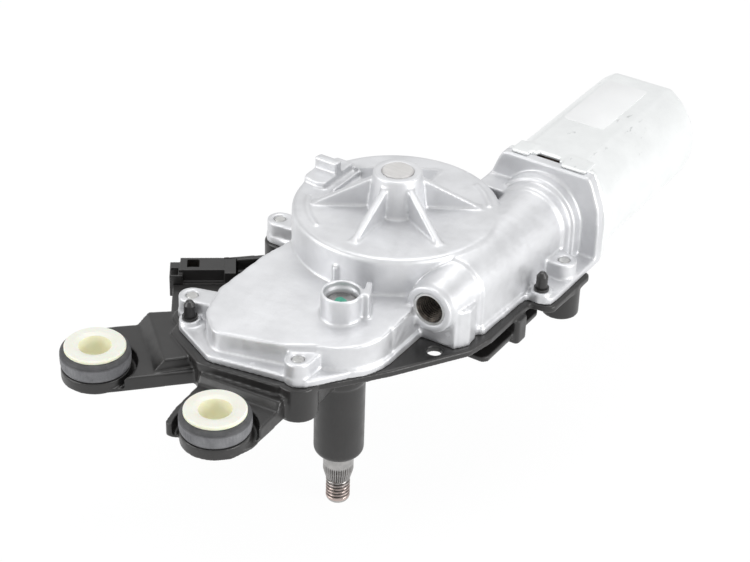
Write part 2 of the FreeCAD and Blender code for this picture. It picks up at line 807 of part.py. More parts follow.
def cover_corners():
    return [(-31.0, -33.4, 3.0), (-4.0, -29.6, 2.0), (9.0, -19.0, 8.0), (20.5, -3.2, 6.0),
            (35.0, 20.4, 4.0), (36.9, 30.0, 4.0), (37.1, 55.0, 1.0), (44.9, 56.2, 3.0),
            (45.2, 82.0, 2.0), (6.0, 83.0, 6.0), (-9.0, 84.0, 10.0), (-34.0, 76.0, 20.0),
            (-47.5, 58.0, 10.0), (-46.8, 34.0, 4.0), (-44.2, 20.0, 4.0), (-44.2, -5.0, 1.0),
            (-52.5, -7.0, 4.0), (-48.0, -24.4, 2.0)]


def skirt_corners():
    return [(-30.6, -33.2, 3.0), (-4.0, -29.6, 3.0), (4.0, -20.0, 6.0), (2.0, 12.0, 6.0),
            (-12.0, 30.0, 8.0), (-30.0, 40.0, 8.0), (-44.4, 30.0, 6.0), (-44.4, -7.0, 2.0),
            (-47.0, -22.0, 3.0)]


def inset_loop(corners, distance, height):
    return loop(corners, height).makeOffset2D(-distance)


def skirt():
    outer = slab(skirt_corners(), -skirt_depth, -cover_thickness + 0.2)
    inner_face = Part.Face(inset_loop(skirt_corners(), cover_wall, -skirt_depth - 1))
    inner = inner_face.extrude(Vector(0, 0, skirt_depth + 1 - cover_thickness))
    return outer.cut(inner)


def cover_ribs():
    """Stiffening ribs under the plate: spokes from the spindle tube and from the wheel's place."""
    ribs = []
    for angle in (110, 150, 190, 230, 265):
        rib = box((spindle_tube_radius - 1, -0.9, -skirt_depth + 3.0), (23.0, 0.9, -cover_thickness + 0.2))
        rib.rotate(Vector(0, 0, 0), Vector(0, 0, 1), angle)
        ribs.append(rib)
    low = -cover_thickness - 2.6
    ribs.append(tube(17.0, 15.4, -cover_thickness + 0.2 - low, (wheel_x, wheel_y, low)))
    for number in range(8):
        rib = box((15.5, -0.8, low), (33.0, 0.8, -cover_thickness + 0.2))
        rib.rotate(Vector(0, 0, 0), Vector(0, 0, 1), 22.5 + number * 45)
        rib.translate(wheel_place)
        ribs.append(rib)
    return ribs


def tube_web():
    """The deep gusset on the right of the spindle tube, under the plate's long edge."""
    reach = 19.0
    points = [Vector(0, 0, -cover_thickness + 0.2), Vector(reach, 0, -cover_thickness + 0.2),
              Vector(reach, 0, -cover_thickness - 0.4), Vector(spindle_tube_radius, 0, -9.5),
              Vector(0, 0, -9.5)]
    gusset = Part.Face(Part.makePolygon(points + [points[0]])).extrude(Vector(0, 11.0, 0))
    gusset.translate(Vector(0, -5.5, 0))
    gusset.rotate(Vector(0, 0, 0), Vector(0, 0, 1), 8)
    return gusset


def front_arm():
    low = arm_top - arm_thickness
    return slab([(-29.0, -31.0, 1.0), (-28.0, -40.0, 4.0), (-27.0, -50.0, 6.0),
                 (-25.0, -58.0, 3.0), (-21.6, -57.0, 1.0), (-20.0, -55.6, 0.0),
                 (-11.5, -50.3, 0.0), (-4.0, -58.4, 1.0), (-1.6, -56.0, 3.0),
                 (0.6, -48.5, 6.0), (-0.2, -31.8, 1.0), (-0.5, -27.0, 0.0),
                 (-29.5, -29.0, 0.0)], low, arm_top)


def left_arm():
    low = arm_top - arm_thickness
    return slab([(-31.6, -29.0, 1.0), (-51.0, -49.2, 3.0), (-58.0, -55.6, 2.0),
                 (-61.9, -44.8, 0.0), (-76.0, -43.5, 3.0), (-77.6, -35.0, 6.0),
                 (-69.0, -25.6, 8.0), (-57.0, -14.2, 2.0), (-50.0, -9.0, 0.0),
                 (-34.0, -24.0, 0.0)], low, arm_top)


def left_arm_step():
    """The thicker root of the left arm, which ramps down towards the eye."""
    high = -1.5
    bearing = 228.2
    points = [Vector(-14.0, 0, arm_top - 1.0), Vector(3.5, 0, arm_top - 1.0),
              Vector(3.5, 0, arm_top), Vector(0, 0, high), Vector(-14.0, 0, high)]
    ramp = Part.Face(Part.makePolygon(points + [points[0]])).extrude(Vector(0, 30.0, 0))
    ramp.Placement = Placement(Vector(-63.6, -16.5, 0), Rotation(Vector(0, 0, 1), bearing))
    limit = slab([(-31.6, -29.0, 1.0), (-51.0, -49.2, 3.0), (-70.0, -26.6, 2.0),
                  (-63.0, -19.0, 3.0), (-56.6, -13.6, 1.0), (-50.0, -9.0, 0.0),
                  (-34.0, -24.0, 0.0)], arm_top - 1.0, high)
    return ramp.common(limit)


def front_arm_step():
    """The sloping strip where the front arm leaves the skirt."""
    points = [Vector(0, -2.0, arm_top - 0.5), Vector(0, 3.4, arm_top - 0.5),
              Vector(0, 3.4, arm_top), Vector(0, 1.6, -3.4), Vector(0, -2.0, -3.4)]
    strip = Part.Face(Part.makePolygon(points + [points[0]])).extrude(Vector(29.0, 0, 0))
    strip.Placement = Placement(Vector(-0.6, -30.6, 0), Rotation(Vector(0, 0, 1), 184))
    return strip


def eye_ring(place):
    low = arm_top - arm_thickness
    return cylinder(eye_ring_radius, eye_ring_height, (place[0], place[1], low))


def connector_shelf():
    """The part of the cover that reaches out to the left and carries the connector."""
    top = connector_top - connector_step
    corners = [(-42.0, -6.0, 0.0), (-56.6, -13.8, 1.5), (-71.0, 6.4, 1.5), (-70.0, 11.0, 1.0),
               (-52.0, 32.0, 2.0), (-42.0, 31.0, 0.0)]
    outer = slab(corners, shelf_floor, top)
    inner_face = Part.Face(inset_loop(corners, cover_wall, shelf_floor - 1))
    inner = inner_face.extrude(Vector(0, 0, top - cover_wall - shelf_floor + 1))
    root = slab([(-42.0, -6.0, 0.0), (-47.6, -9.0, 1.5), (-50.0, 24.0, 2.0), (-42.0, 25.0, 0.0)],
                top - 0.5, 0)
    wall = slab([(-63.0, 22.2, 0.5), (-61.6, 20.4, 0.0), (-51.0, 30.3, 2.0), (-44.0, 33.6, 0.0),
                 (-44.0, 37.0, 0.0), (-51.9, 32.5, 2.0)], shelf_floor, connector_top)
    return outer.cut(inner).fuse(root).fuse(wall)


def wire_trough():
    """The open channel under the plate's right edge, which leads the motor's wires."""
    floor_low = -9.0
    floor = slab([(27.0, 28.0, 1.0), (31.5, 28.0, 2.0), (36.6, 28.0, 3.0), (36.8, 62.0, 4.0),
                  (31.0, 68.0, 3.0), (26.0, 68.0, 2.0)], floor_low, floor_low + 2.0)
    wall = slab([(27.4, 28.0, 0.6), (29.2, 27.4, 0.8), (30.4, 33.0, 3.0), (30.4, 68.0, 0.5),
                 (28.2, 68.0, 0.5), (28.2, 33.0, 3.0)], floor_low, -cover_thickness + 0.2)
    clip = slab([(33.0, 45.5, 1.0), (38.4, 45.5, 1.5), (38.4, 52.0, 1.5), (33.0, 52.0, 1.0)],
                floor_low - 2.0, -cover_thickness + 0.2)
    return joined([floor, wall, clip])


def base_cover():
    low = -spindle_tube_length
    parts = [slab(cover_corners(), -cover_thickness, 0), skirt(), tube_web(), spindle_tube()]
    parts.extend(cover_ribs())
    for place, target, radius in zip(screw_places, lobe_targets(), cup_radii):
        parts.append(lobe(place, target, radius, -cover_thickness, 0, 1.2))
        parts.append(cylinder(radius, cup_depth, (place[0], place[1], -cup_depth)))
    parts.extend([front_arm(), front_arm_step(), left_arm(), left_arm_step()])
    parts.extend([connector_shelf(), wire_trough()])
    body = joined(parts)
    pocket_low = arm_top - arm_thickness + pocket_floor
    for place in eye_places:
        body = body.cut(cylinder(pocket_radius, 20, (place[0], place[1], pocket_low)))
    body = joined([body] + [eye_ring(place) for place in eye_places])
    cuts = [cylinder(eye_hole_radius, 40, (place[0], place[1], -30)) for place in eye_places]
    bore = spindle_radius + bush_wall
    cuts.append(cylinder(bore, -low, (0, 0, low + 1.2)))
    cuts.append(cylinder(spindle_radius + 0.4, -low, (0, 0, low - 1)))
    for place in screw_places:
        cuts.append(cylinder(screw_radius + static_gap, 40, (place[0], place[1], -30)))
        cuts.append(cylinder(screw_head_radius + 0.4, 40, (place[0], place[1], screw_head_top - 40)))
    for place in peg_places:
        cuts.append(cylinder(peg_radius, 2.0, (place[0], place[1], -2.0)))
    cuts.append(cylinder(spare_hole_radius, 10, (spare_hole_place[0], spare_hole_place[1], -5)))
    cuts.append(connector_space())
    cuts.append(gasket_ring(running_gap))
    for cut in cuts:
        body = body.cut(cut)
    return body


def spindle_tube():
    low = -spindle_tube_length
    barrel = cylinder(spindle_tube_radius, -low, (0, 0, low))
    rims = [edge for edge in barrel.Edges if edge.BoundBox.ZMax < low + 0.01]
    root = cylinder(spindle_tube_root_radius, spindle_tube_root_length,
                    (0, 0, -spindle_tube_root_length))
    return barrel.makeFillet(spindle_tube_rounding, rims).fuse(root)


def gasket_ring(gap=0.0):
    """The sealing ring between casting and cover, under the casting's deck and dome walls."""
    outer = casting_wall / 2 - gasket_width / 2 - gap
    inner = casting_wall / 2 + gasket_width / 2 + gap
    rings = []
    for inset in (outer, inner):
        rings.append(slab(deck_corners(inset), -gasket_height, 0).fuse(
            [cylinder(spindle_arc_radius - inset, gasket_height, (0, 0, -gasket_height)),
             cylinder(dome_radius - inset, gasket_height, (wheel_x, wheel_y, -gasket_height))]))
    return rings[0].cut(rings[1]).removeSplitter()


def place_connector(shape):
    """Turn a shape from the connector's own frame, mouth at X = 0, into the part's frame."""
    shape.Placement = Placement(Vector(connector_mouth[0], connector_mouth[1], 0),
                                Rotation(Vector(0, 0, 1), connector_angle)) * shape.Placement
    return shape


def connector_space():
    """Room for the connector in the cover, a little wider than the socket."""
    half = connector_width / 2 + static_gap
    low = connector_top - connector_height - static_gap
    return place_connector(box((-2, -half, low), (connector_length + static_gap, half, 1)))


def connector_socket():
    half = connector_width / 2
    low = connector_top - connector_height
    ledge = connector_top - connector_step
    back = connector_length
    body = box((connector_nose_length, -half, low), (back, half, ledge))
    rail = box((connector_nose_length, half - connector_rail_width, ledge - 1),
               (back - connector_flange_length - 0.3, half, connector_top))
    nose = box((0, -half, low + 0.4), (connector_nose_length + 1, half - 0.8, connector_top - 1.2))
    flange = box((back - connector_flange_length, -half, low), (back, half, connector_top - 0.2))
    socket = joined([body, rail, nose, flange])
    inner = half - connector_wall
    inner_top = connector_top - connector_wall - 1.0
    socket = socket.cut(box((-1, -inner, low + connector_wall),
                            (connector_depth, inner - 0.8, inner_top)))
    latch = box((connector_nose_length + 2.4, half - connector_rail_width + 1.2, inner_top - 1),
                (connector_nose_length + 6.4, half - 1.0, connector_top + 1))
    nose_window = box((0.5, -half + 0.7, inner_top - 1), (connector_nose_length - 0.5, 0.3, connector_top))
    socket = socket.cut(latch).cut(nose_window)
    for number in range(terminal_count):
        socket = socket.cut(terminal_box(number, connector_depth - 1, back - 4))
    return place_connector(socket)


def terminal_box(number, start, end):
    middle = (number - (terminal_count - 1) / 2) * terminal_pitch - 0.4
    height = connector_top - connector_height / 2
    return box((start, middle - terminal_thickness / 2, height - terminal_width / 2),
               (end, middle + terminal_thickness / 2, height + terminal_width / 2))


def connector_terminals():
    blades = [terminal_box(number, terminal_setback, connector_length - 4) for number in range(terminal_count)]
    return Part.makeCompound([place_connector(blade) for blade in blades])


def grommet(place):
    low = arm_top - arm_thickness
    neck = eye_hole_radius - static_gap
    bore = sleeve_radius + static_gap
    flange_low = low + eye_ring_height + static_gap
    lip_high = low - static_gap
    profile = [(bore, lip_high - grommet_lip_height),
               (grommet_lip_radius - 0.6, lip_high - grommet_lip_height),
               (grommet_lip_radius, lip_high - grommet_lip_height + 0.6),
               (grommet_lip_radius, lip_high), (neck, lip_high), (neck, flange_low),
               (grommet_flange_radius - 0.5, flange_low),
               (grommet_flange_radius, flange_low + 0.8),
               (grommet_flange_radius, grommet_flange_top - 1.0),
               (grommet_flange_radius - 0.9, grommet_flange_top), (bore, grommet_flange_top)]
    return turned(profile, (place[0], place[1], 0))


def mount_sleeve(place):
    low = arm_top - arm_thickness - grommet_lip_height - 0.6
    top = grommet_flange_top + static_gap
    high = top + sleeve_flange_height
    profile = [(sleeve_bore_radius, low), (sleeve_radius, low), (sleeve_radius, top),
               (sleeve_flange_radius, top), (sleeve_flange_radius, high - 0.4),
               (sleeve_flange_radius - 0.4, high), (sleeve_bore_radius + 1.6, high),
               (sleeve_bore_radius, high - 0.5)]
    return turned(profile, (place[0], place[1], 0))


def housing_screws():
    screws = []
    for place in screw_places:
        base = (place[0], place[1], 0)
        tip = screw_boss_height - 0.3
        profile = [(0, screw_head_top - screw_head_height),
                   (screw_head_radius - 0.5, screw_head_top - screw_head_height),
                   (screw_head_radius, screw_head_top - screw_head_height + 0.8),
                   (screw_head_radius, screw_head_top), (screw_radius, screw_head_top),
                   (screw_radius, tip - 0.5), (screw_radius - 0.5, tip), (0, tip)]
        screws.append(turned(profile, base))
    return Part.makeCompound(screws)


def cover_pegs():
    pegs = []
    for place in peg_places:
        seat = flange_thickness + peg_pad_height
        collar = seat + peg_collar_height
        profile = [(0, -2.0), (peg_radius, -2.0), (peg_radius, seat),
                   (peg_collar_radius, seat), (peg_collar_radius, collar),
                   (peg_radius, collar), (peg_radius, peg_height - 1.6),
                   (peg_radius * 0.55, peg_height - 0.3), (0, peg_height)]
        pegs.append(turned(profile, (place[0], place[1], 0)))
    return Part.makeCompound(pegs)


def can_outline(radius, flat, start, end):
    """The can's round section with a flat above and below."""
    barrel = motor_cylinder(radius, start, end)
    return barrel.common(box((motor_x - 50, start, motor_axis_height - flat),
                             (motor_x + 50, end, motor_axis_height + flat)))


def motor_can():
    start = motor_face_rear
    end = start + can_length
    outer = can_outline(can_radius, can_flat, start, end)
    rims = [edge for edge in outer.Edges if edge.BoundBox.YMin > end - 0.01]
    outer = outer.makeFillet(min(can_edge_fillet, can_radius / 5), rims)
    cup = motor_cylinder(can_cup_radius, end - 1, end + can_cup_length)
    tip = [edge for edge in cup.Edges if edge.BoundBox.YMin > end + can_cup_length - 0.01]
    cup = cup.makeFillet(1.2, tip)
    collar = motor_face(start, start + can_collar_thickness)
    can = joined([outer, cup, collar] + can_tabs())
    inner = can_outline(can_radius - can_wall, can_flat - can_wall, start - 0.1, end - can_wall)
    can = can.cut(inner)
    notch_top = motor_axis_height + 1.9 + 16.2
    can = can.cut(box((motor_x - 5.4, start - 1, notch_top - collar_notch_depth),
                      (motor_x + 3.0, start + collar_notch_length, notch_top + 5)))
    can = can.cut(box((motor_x + can_radius - can_wall - 1, start + 5.5, motor_axis_height - can_slot_length / 2),
                      (motor_x + can_radius + 1, start + 5.5 + can_slot_width,
                       motor_axis_height + can_slot_length / 2)))
    return can.cut(motor_cylinder(can_cup_radius - can_wall, end - can_wall - 1,
                                  end + can_cup_length - can_wall))


def can_tabs():
    """Tabs of the can's collar that are folded over the edge of the casting's flange."""
    tabs = []
    top = motor_axis_height + 1.9 + 16.2
    bottom = motor_axis_height + 1.9 - 16.2
    thickness = 1.1
    front = motor_face_front + 1.4
    back = motor_face_rear + 5.0
    for x, half in ((-10.7, 3.3), (9.3, 4.7)):
        for low in (top, bottom - thickness):
            tabs.append(slab([(motor_x + x - half, front, 0.8), (motor_x + x + half, front, 0.8),
                              (motor_x + x + half, back, 0.0), (motor_x + x - half, back, 0.0)],
                             low, low + thickness))
    return tabs


def field_magnets():
    outer = can_radius - can_wall - static_gap
    start = motor_face_rear + can_length - can_wall - magnet_length - 8
    magnets = []
    for middle in (0, 180):
        ring = motor_cylinder(outer, start, start + magnet_length).cut(
            motor_cylinder(outer - magnet_thickness, start, start + magnet_length))
        rays = [Vector(motor_x, start, motor_axis_height)]
        for angle in (-magnet_span / 2, 0, magnet_span / 2):
            turn = math.radians(middle + angle)
            rays.append(rays[0] + Vector(math.cos(turn), 0, math.sin(turn)) * 60)
        wedge = Part.Face(Part.makePolygon(rays + [rays[0]])).extrude(
            Vector(0, magnet_length, 0))
        magnets.append(ring.common(wedge))
    return Part.makeCompound(magnets)


def armature_radius():
    return can_radius - can_wall - static_gap - magnet_thickness - air_gap


def core_start():
    magnet_start = motor_face_rear + can_length - can_wall - magnet_length - 8
    return magnet_start + (magnet_length - core_length) / 2


def armature_core():
    start = core_start()
    radius = armature_radius()
    core = motor_cylinder(radius, start, start + core_length)
    slot = box((-1.4, start - 1, radius - 7.0), (1.4, start + core_length + 1, radius - 1.6))
    mouth = box((-0.6, start - 1, radius - 2.0), (0.6, start + core_length + 1, radius + 1))
    cutter = slot.fuse(mouth)
    for number in range(core_slots):
        copy = cutter.copy()
        copy.rotate(Vector(0, 0, 0), Vector(0, 1, 0), number * 360 / core_slots)
        copy.translate(Vector(motor_x, 0, motor_axis_height))
        core = core.cut(copy)
    return core.cut(motor_cylinder(worm_shaft_radius, start - 1, start + core_length + 1))


def armature_windings():
    """The end turns of the winding, one rounded ring at each end of the core."""
    radius = armature_radius() - 1.4
    rings = []
    for low, high in ((core_start() - winding_length, core_start()),
                      (core_start() + core_length, core_start() + core_length + winding_length - 2)):
        inner = worm_shaft_radius + 1.0
        outer_low = radius if low > core_start() else radius - 2.5
        outer_high = radius if low < core_start() else radius - 2.5
        profile = [(inner, low), (outer_low, low), (radius + 0.6, (low + high) / 2),
                   (outer_high, high), (inner, high)]
        rings.append(motor_turned(profile))
    return Part.makeCompound(rings)


def commutator_start():
    return core_start() - winding_length - commutator_length - 0.6


def commutator():
    start = commutator_start()
    end = start + commutator_length
    riser = 2.0
    body = motor_turned([(worm_shaft_radius, start), (commutator_radius, start),
                         (commutator_radius, end - riser), (commutator_radius + 1.2, end - riser),
                         (commutator_radius + 1.2, end), (worm_shaft_radius, end)])
    for number in range(core_slots):
        slit = box((-0.25, start - 1, commutator_radius - 0.6), (0.25, end + 1, commutator_radius + 3))
        slit.rotate(Vector(0, 0, 0), Vector(0, 1, 0), (number + 0.5) * 360 / core_slots)
        slit.translate(Vector(motor_x, 0, motor_axis_height))
        body = body.cut(slit)
    return body


def worm_shaft():
    start = end_ring_front + 10.2
    end = motor_face_rear + can_length + can_cup_length - can_wall - 0.6
    shaft = motor_turned([(0, start), (worm_shaft_radius - 0.5, start),
                          (worm_shaft_radius, start + 0.5), (worm_shaft_radius, end - 0.5),
                          (worm_shaft_radius - 0.5, end), (0, end)])
    thread_start = wheel_y - worm_turns * worm_lead / 2
    core = motor_cylinder(worm_root_radius, thread_start - 1.5,
                          thread_start + worm_turns * worm_lead + 1.5)
    return joined([shaft, core]).fuse(worm_thread(thread_start)).removeSplitter()


def worm_thread(start):
    """The worm's single thread, swept along a right-hand helix."""
    helix = Part.makeHelix(worm_lead, worm_turns * worm_lead, worm_pitch_radius)
    half = (math.pi * gear_module / 2 - tooth_thinning) / 2
    flank = math.tan(math.radians(pressure_angle))
    root = worm_root_radius - 0.4
    half_root = half + (worm_pitch_radius - root) * flank
    half_tip = half - (worm_tip_radius - worm_pitch_radius) * flank
    profile = Part.makePolygon([Vector(root, 0, -half_root), Vector(worm_tip_radius, 0, -half_tip),
                                Vector(worm_tip_radius, 0, half_tip), Vector(root, 0, half_root),
                                Vector(root, 0, -half_root)])
    thread = Part.Wire(helix).makePipeShell([profile], True, True)
    half_turn = 180 if worm_turns % 2 == 0 else 0
    thread.rotate(Vector(0, 0, 0), Vector(0, 0, 1), half_turn)
    thread.Placement = Placement(Vector(motor_x, start, motor_axis_height),
                                 Rotation(Vector(1, 0, 0), -90)) * thread.Placement
    return thread


def end_lining():
    start = end_ring_front + 0.4
    return motor_cylinder(end_bore_radius, start, start + 9.0).cut(
        motor_cylinder(end_bore_radius - lining_wall, start, start + 9.0))


def shaft_bush(outer, start, length):
    return motor_cylinder(outer, start, start + length).cut(
        motor_cylinder(worm_shaft_radius + running_gap, start, start + length))


def brush_holder():
    start = commutator_start() + 1.0
    plate = motor_cylinder(can_radius - can_wall - seat_gap - 1.0, start - 2.4, start)
    flat = can_flat - can_wall - seat_gap
    plate = plate.common(box((motor_x - 50, start - 5, motor_axis_height - flat),
                             (motor_x + 50, start + 5, motor_axis_height + flat)))
    boxes = []
    for side in (-1, 1):
        low = commutator_radius + 1.6
        high = low + brush_length
        holder = box((motor_x + min(side * low, side * high), start - 0.2,
                      motor_axis_height - brush_width / 2 - 1.2),
                     (motor_x + max(side * low, side * high), start + brush_height + 1.4,
                      motor_axis_height + brush_width / 2 + 1.2))
        boxes.append(holder)
    body = joined([plate] + boxes)
    body = body.cut(motor_cylinder(commutator_radius + 1.0, start - 5, start + 1))
    for side in (-1, 1):
        body = body.cut(brush_block(side, commutator_radius + 1.0, 40.0, 0.1))
    return body


def brush_block(side, inner, outer, gap=0.0):
    start = commutator_start() + 1.2
    return box((motor_x + min(side * inner, side * outer), start - gap,
                motor_axis_height - brush_width / 2 - gap),
               (motor_x + max(side * inner, side * outer), start + brush_height + gap,
                motor_axis_height + brush_width / 2 + gap))


def brushes():
    inner = commutator_radius + axial_gap
    blocks = []
    for side in (-1, 1):
        block = brush_block(side, inner - 1.0, inner + brush_length - 2.0)
        blocks.append(block.cut(motor_cylinder(inner, 0, 200)))
    return Part.makeCompound(blocks)


def brush_springs():
    inner = commutator_radius + axial_gap + brush_length - 2.0
    middle = commutator_start() + 1.2 + brush_height / 2
    springs = []
    for side in (-1, 1):
        base = (motor_x + side * inner, middle, motor_axis_height)
        springs.append(tube(1.5, 1.0, 3.6, base, (side, 0, 0)))
    return Part.makeCompound(springs)


def build():
    bearing_start = motor_face_front - 3 - gearcase_bearing_length
    can_end = motor_face_rear + can_length
    pieces = {
        "gear_housing": gear_housing(),
        "base_cover": base_cover(),
        "mount_grommet_front": grommet(eye_places[0]),
        "mount_grommet_left": grommet(eye_places[1]),
        "mount_sleeve_front": mount_sleeve(eye_places[0]),
        "mount_sleeve_left": mount_sleeve(eye_places[1]),
        "housing_screws": housing_screws(),
        "cover_pegs": cover_pegs(),
        "cover_gasket": gasket_ring(),
        "wheel_axle": wheel_axle(),
        "axle_clip": axle_clip(),
        "hub_bush": hub_bush(),
        "hub_cap": hub_cap(),
        "worm_wheel": worm_wheel(),
        "park_ring": park_ring(),
        "park_contacts": park_contacts(),
        "crank_pin": crank_pin(),
        "crank_link": crank_link(),
        "link_pin": link_pin(),
        "sector_gear": sector_gear(),
        "sector_pin": sector_pin(),
        "output_pinion": output_pinion(),
        "output_spindle": output_spindle(),
        "spindle_washer": spindle_washer(),
        "spindle_bush_upper": spindle_bush(0, upper_bush_length),
        "spindle_bush_lower": spindle_bush(lower_bush_low + lower_bush_length, lower_bush_length),
        "spindle_seal": spindle_seal(),
        "connector_socket": connector_socket(),
        "connector_terminals": connector_terminals(),
        "worm_shaft": worm_shaft(),
        "worm_end_lining": end_lining(),
        "worm_end_bush": shaft_bush(end_bore_radius, end_ring_front + 9.4 + 0.3, 6.6),
        "gearcase_bush": shaft_bush(bearing_radius, bearing_start, gearcase_bearing_length),
        "can_end_bush": shaft_bush(can_cup_radius - can_wall, can_end - can_wall - 0.8,
                                   can_cup_length),
        "motor_can": motor_can(),
        "field_magnets": field_magnets(),
        "armature_core": armature_core(),
        "armature_windings": armature_windings(),
        "commutator": commutator(),
        "brush_holder": brush_holder(),
        "brushes": brushes(),
        "brush_springs": brush_springs(),
    }
    return pieces


os.makedirs("parts", exist_ok=True)
lift = Vector(0, 0, spindle_tube_length + spindle_shoulder_gap)
for name, shape in build().items():
    shape = shape.copy()
    shape.translate(lift)
    shape.exportStep("parts/" + name + ".step")
    print(name, "solids", len(shape.Solids), "valid", shape.isValid(),
          "volume", round(shape.Volume, 1))
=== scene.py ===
import json
import math

import bmesh
import bpy
from mathutils import Matrix, Vector


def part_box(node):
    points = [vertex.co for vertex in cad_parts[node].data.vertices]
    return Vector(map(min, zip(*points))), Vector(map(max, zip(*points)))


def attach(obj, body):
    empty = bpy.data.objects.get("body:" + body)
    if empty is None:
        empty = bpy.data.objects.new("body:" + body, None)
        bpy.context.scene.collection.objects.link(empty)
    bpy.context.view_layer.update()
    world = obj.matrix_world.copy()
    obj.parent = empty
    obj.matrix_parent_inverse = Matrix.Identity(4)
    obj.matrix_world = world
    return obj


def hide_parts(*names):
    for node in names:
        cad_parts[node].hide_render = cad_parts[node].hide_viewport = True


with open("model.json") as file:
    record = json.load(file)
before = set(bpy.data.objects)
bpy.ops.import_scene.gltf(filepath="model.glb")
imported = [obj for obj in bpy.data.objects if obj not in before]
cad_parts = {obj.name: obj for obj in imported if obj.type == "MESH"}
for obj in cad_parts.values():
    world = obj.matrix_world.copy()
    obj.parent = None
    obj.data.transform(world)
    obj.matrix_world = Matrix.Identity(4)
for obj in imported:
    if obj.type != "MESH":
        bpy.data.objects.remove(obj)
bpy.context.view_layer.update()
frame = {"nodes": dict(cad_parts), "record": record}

# Lengths are in metres. Heights are counted from the shoulder where the bare spindle leaves
# its tube, so the parting plane between the casting and its cover lies at PARTING.
MM = 0.001
PARTING = 41.8 * MM

# Places and sizes that follow the CAD model
MOTOR_X = 22.5 * MM
MOTOR_Z = PARTING + 13.5 * MM
CAN_FLAT = 19.0 * MM
CAN_FRONT = 91.0 * MM
SHAFT_RADIUS = 5.0 * MM
SHAFT_TOP = PARTING + 16.5 * MM
SHAFT_TIP = -19.2 * MM
GROOVE_RADIUS = 4.7 * MM
GROOVE_TOP = 0.8 * MM
THREAD_RADIUS = 4.0 * MM
CONNECTOR_MOUTH = (-73.9 * MM, 8.6 * MM)
CONNECTOR_ANGLE = math.radians(35.4)
GROMMET_TOP = PARTING - 0.2 * MM
EYES = {"mount_grommet_front": (-11.5 * MM, -50.3 * MM),
        "mount_grommet_left": (-61.9 * MM, -44.8 * MM)}

# The spindle's end, read from the photograph: splines from SPLINE_TOP over the cone, and a
# thread from the cone's end to THREAD_LOW
SPLINE_TOP = -3.8 * MM
CONE_TOP = -6.8 * MM
CONE_END = -10.4 * MM
THREAD_LOW = SHAFT_TIP + 1.5 * MM

# The camera, fitted to the round features of the photograph
PHOTO_WIDTH = 750
FOCAL_PIXELS = 2059
CAMERA_PLACE = Vector((288.0 * MM, -445.0 * MM, 366.7 * MM + PARTING))
CAMERA_PITCH = math.radians(32.886)
CAMERA_ROLL = math.radians(1.781)
CAMERA_YAW = math.radians(31.82)

# The studio: each lamp's name, place and power in watts, the lamps' width and what they face,
# and half the floor's width
LAMPS = (("above", (-0.10, 0.30, 1.05), 3.3), ("right", (1.00, 0.05, 0.25), 6.8),
         ("front", (-0.65, -0.75, 0.40), 4.5))
LAMP_SIZE = 0.70
LAMP_AIM = Vector((-0.005, 0.04, 0.05))
FLOOR_HALF = 6.0

# How far each smoothing pass goes in the moulded skins, and the share of their faces that is
# kept
SOFTENING = 0.5
KEPT_FACES = 0.5

# Sockets of Blender's Mix node for colours
MIX_FACTOR, MIX_FIRST, MIX_SECOND, MIX_RESULT = 0, 6, 7, 2


class Nodes:
    """A node tree with short calls for the nodes that the materials and the world share."""

    def __init__(self, tree):
        self.tree = tree

    def new(self, kind, **settings):
        node = self.tree.nodes.new(kind)
        for key, value in settings.items():
            setattr(node, key, value)
        return node

    def link(self, start, end):
        self.tree.links.new(start, end)

    def ranged(self, value, low, high, out_low=0.0, out_high=1.0):
        """The value, taken from low..high to out_low..out_high and held there."""
        node = self.new("ShaderNodeMapRange", clamp=True)
        node.inputs["From Min"].default_value = low
        node.inputs["From Max"].default_value = high
        node.inputs["To Min"].default_value = out_low
        node.inputs["To Max"].default_value = out_high
        self.link(value, node.inputs["Value"])
        return node.outputs["Result"]

    def math(self, operation, first, second=None):
        """The operation's result from one or two values, each a socket or a number."""
        node = self.new("ShaderNodeMath", operation=operation)
        for number, value in enumerate((first, second)):
            if value is None:
                continue
            if isinstance(value, (int, float)):
                node.inputs[number].default_value = value
            else:
                self.link(value, node.inputs[number])
        return node.outputs["Value"]

    def reach(self, first, second):
        """The length of the two distances taken together, as from an axis."""
        squares = [self.math("MULTIPLY", value, value) for value in (first, second)]
        return self.math("SQRT", self.math("ADD", *squares))

    def most(self, *values):
        """The largest of the values."""
        result = values[0]
        for value in values[1:]:
            result = self.math("MAXIMUM", result, value)
        return result

    def mixed(self, factor, first, second):
        """One colour turning into another as factor goes from 0 to 1."""
        node = self.new("ShaderNodeMix", data_type="RGBA")
        self.link(factor, node.inputs[MIX_FACTOR])
        for number, value in ((MIX_FIRST, first), (MIX_SECOND, second)):
            if isinstance(value, tuple):
                node.inputs[number].default_value = (*value, 1.0)
            else:
                self.link(value, node.inputs[number])
        return node.outputs[MIX_RESULT]

    def blended(self, factor, first, second):
        """One shader turning into another as factor goes from 0 to 1."""
        node = self.new("ShaderNodeMixShader")
        for number, value in enumerate((factor, first, second)):
            self.link(value, node.inputs[number])
        return node.outputs[0]


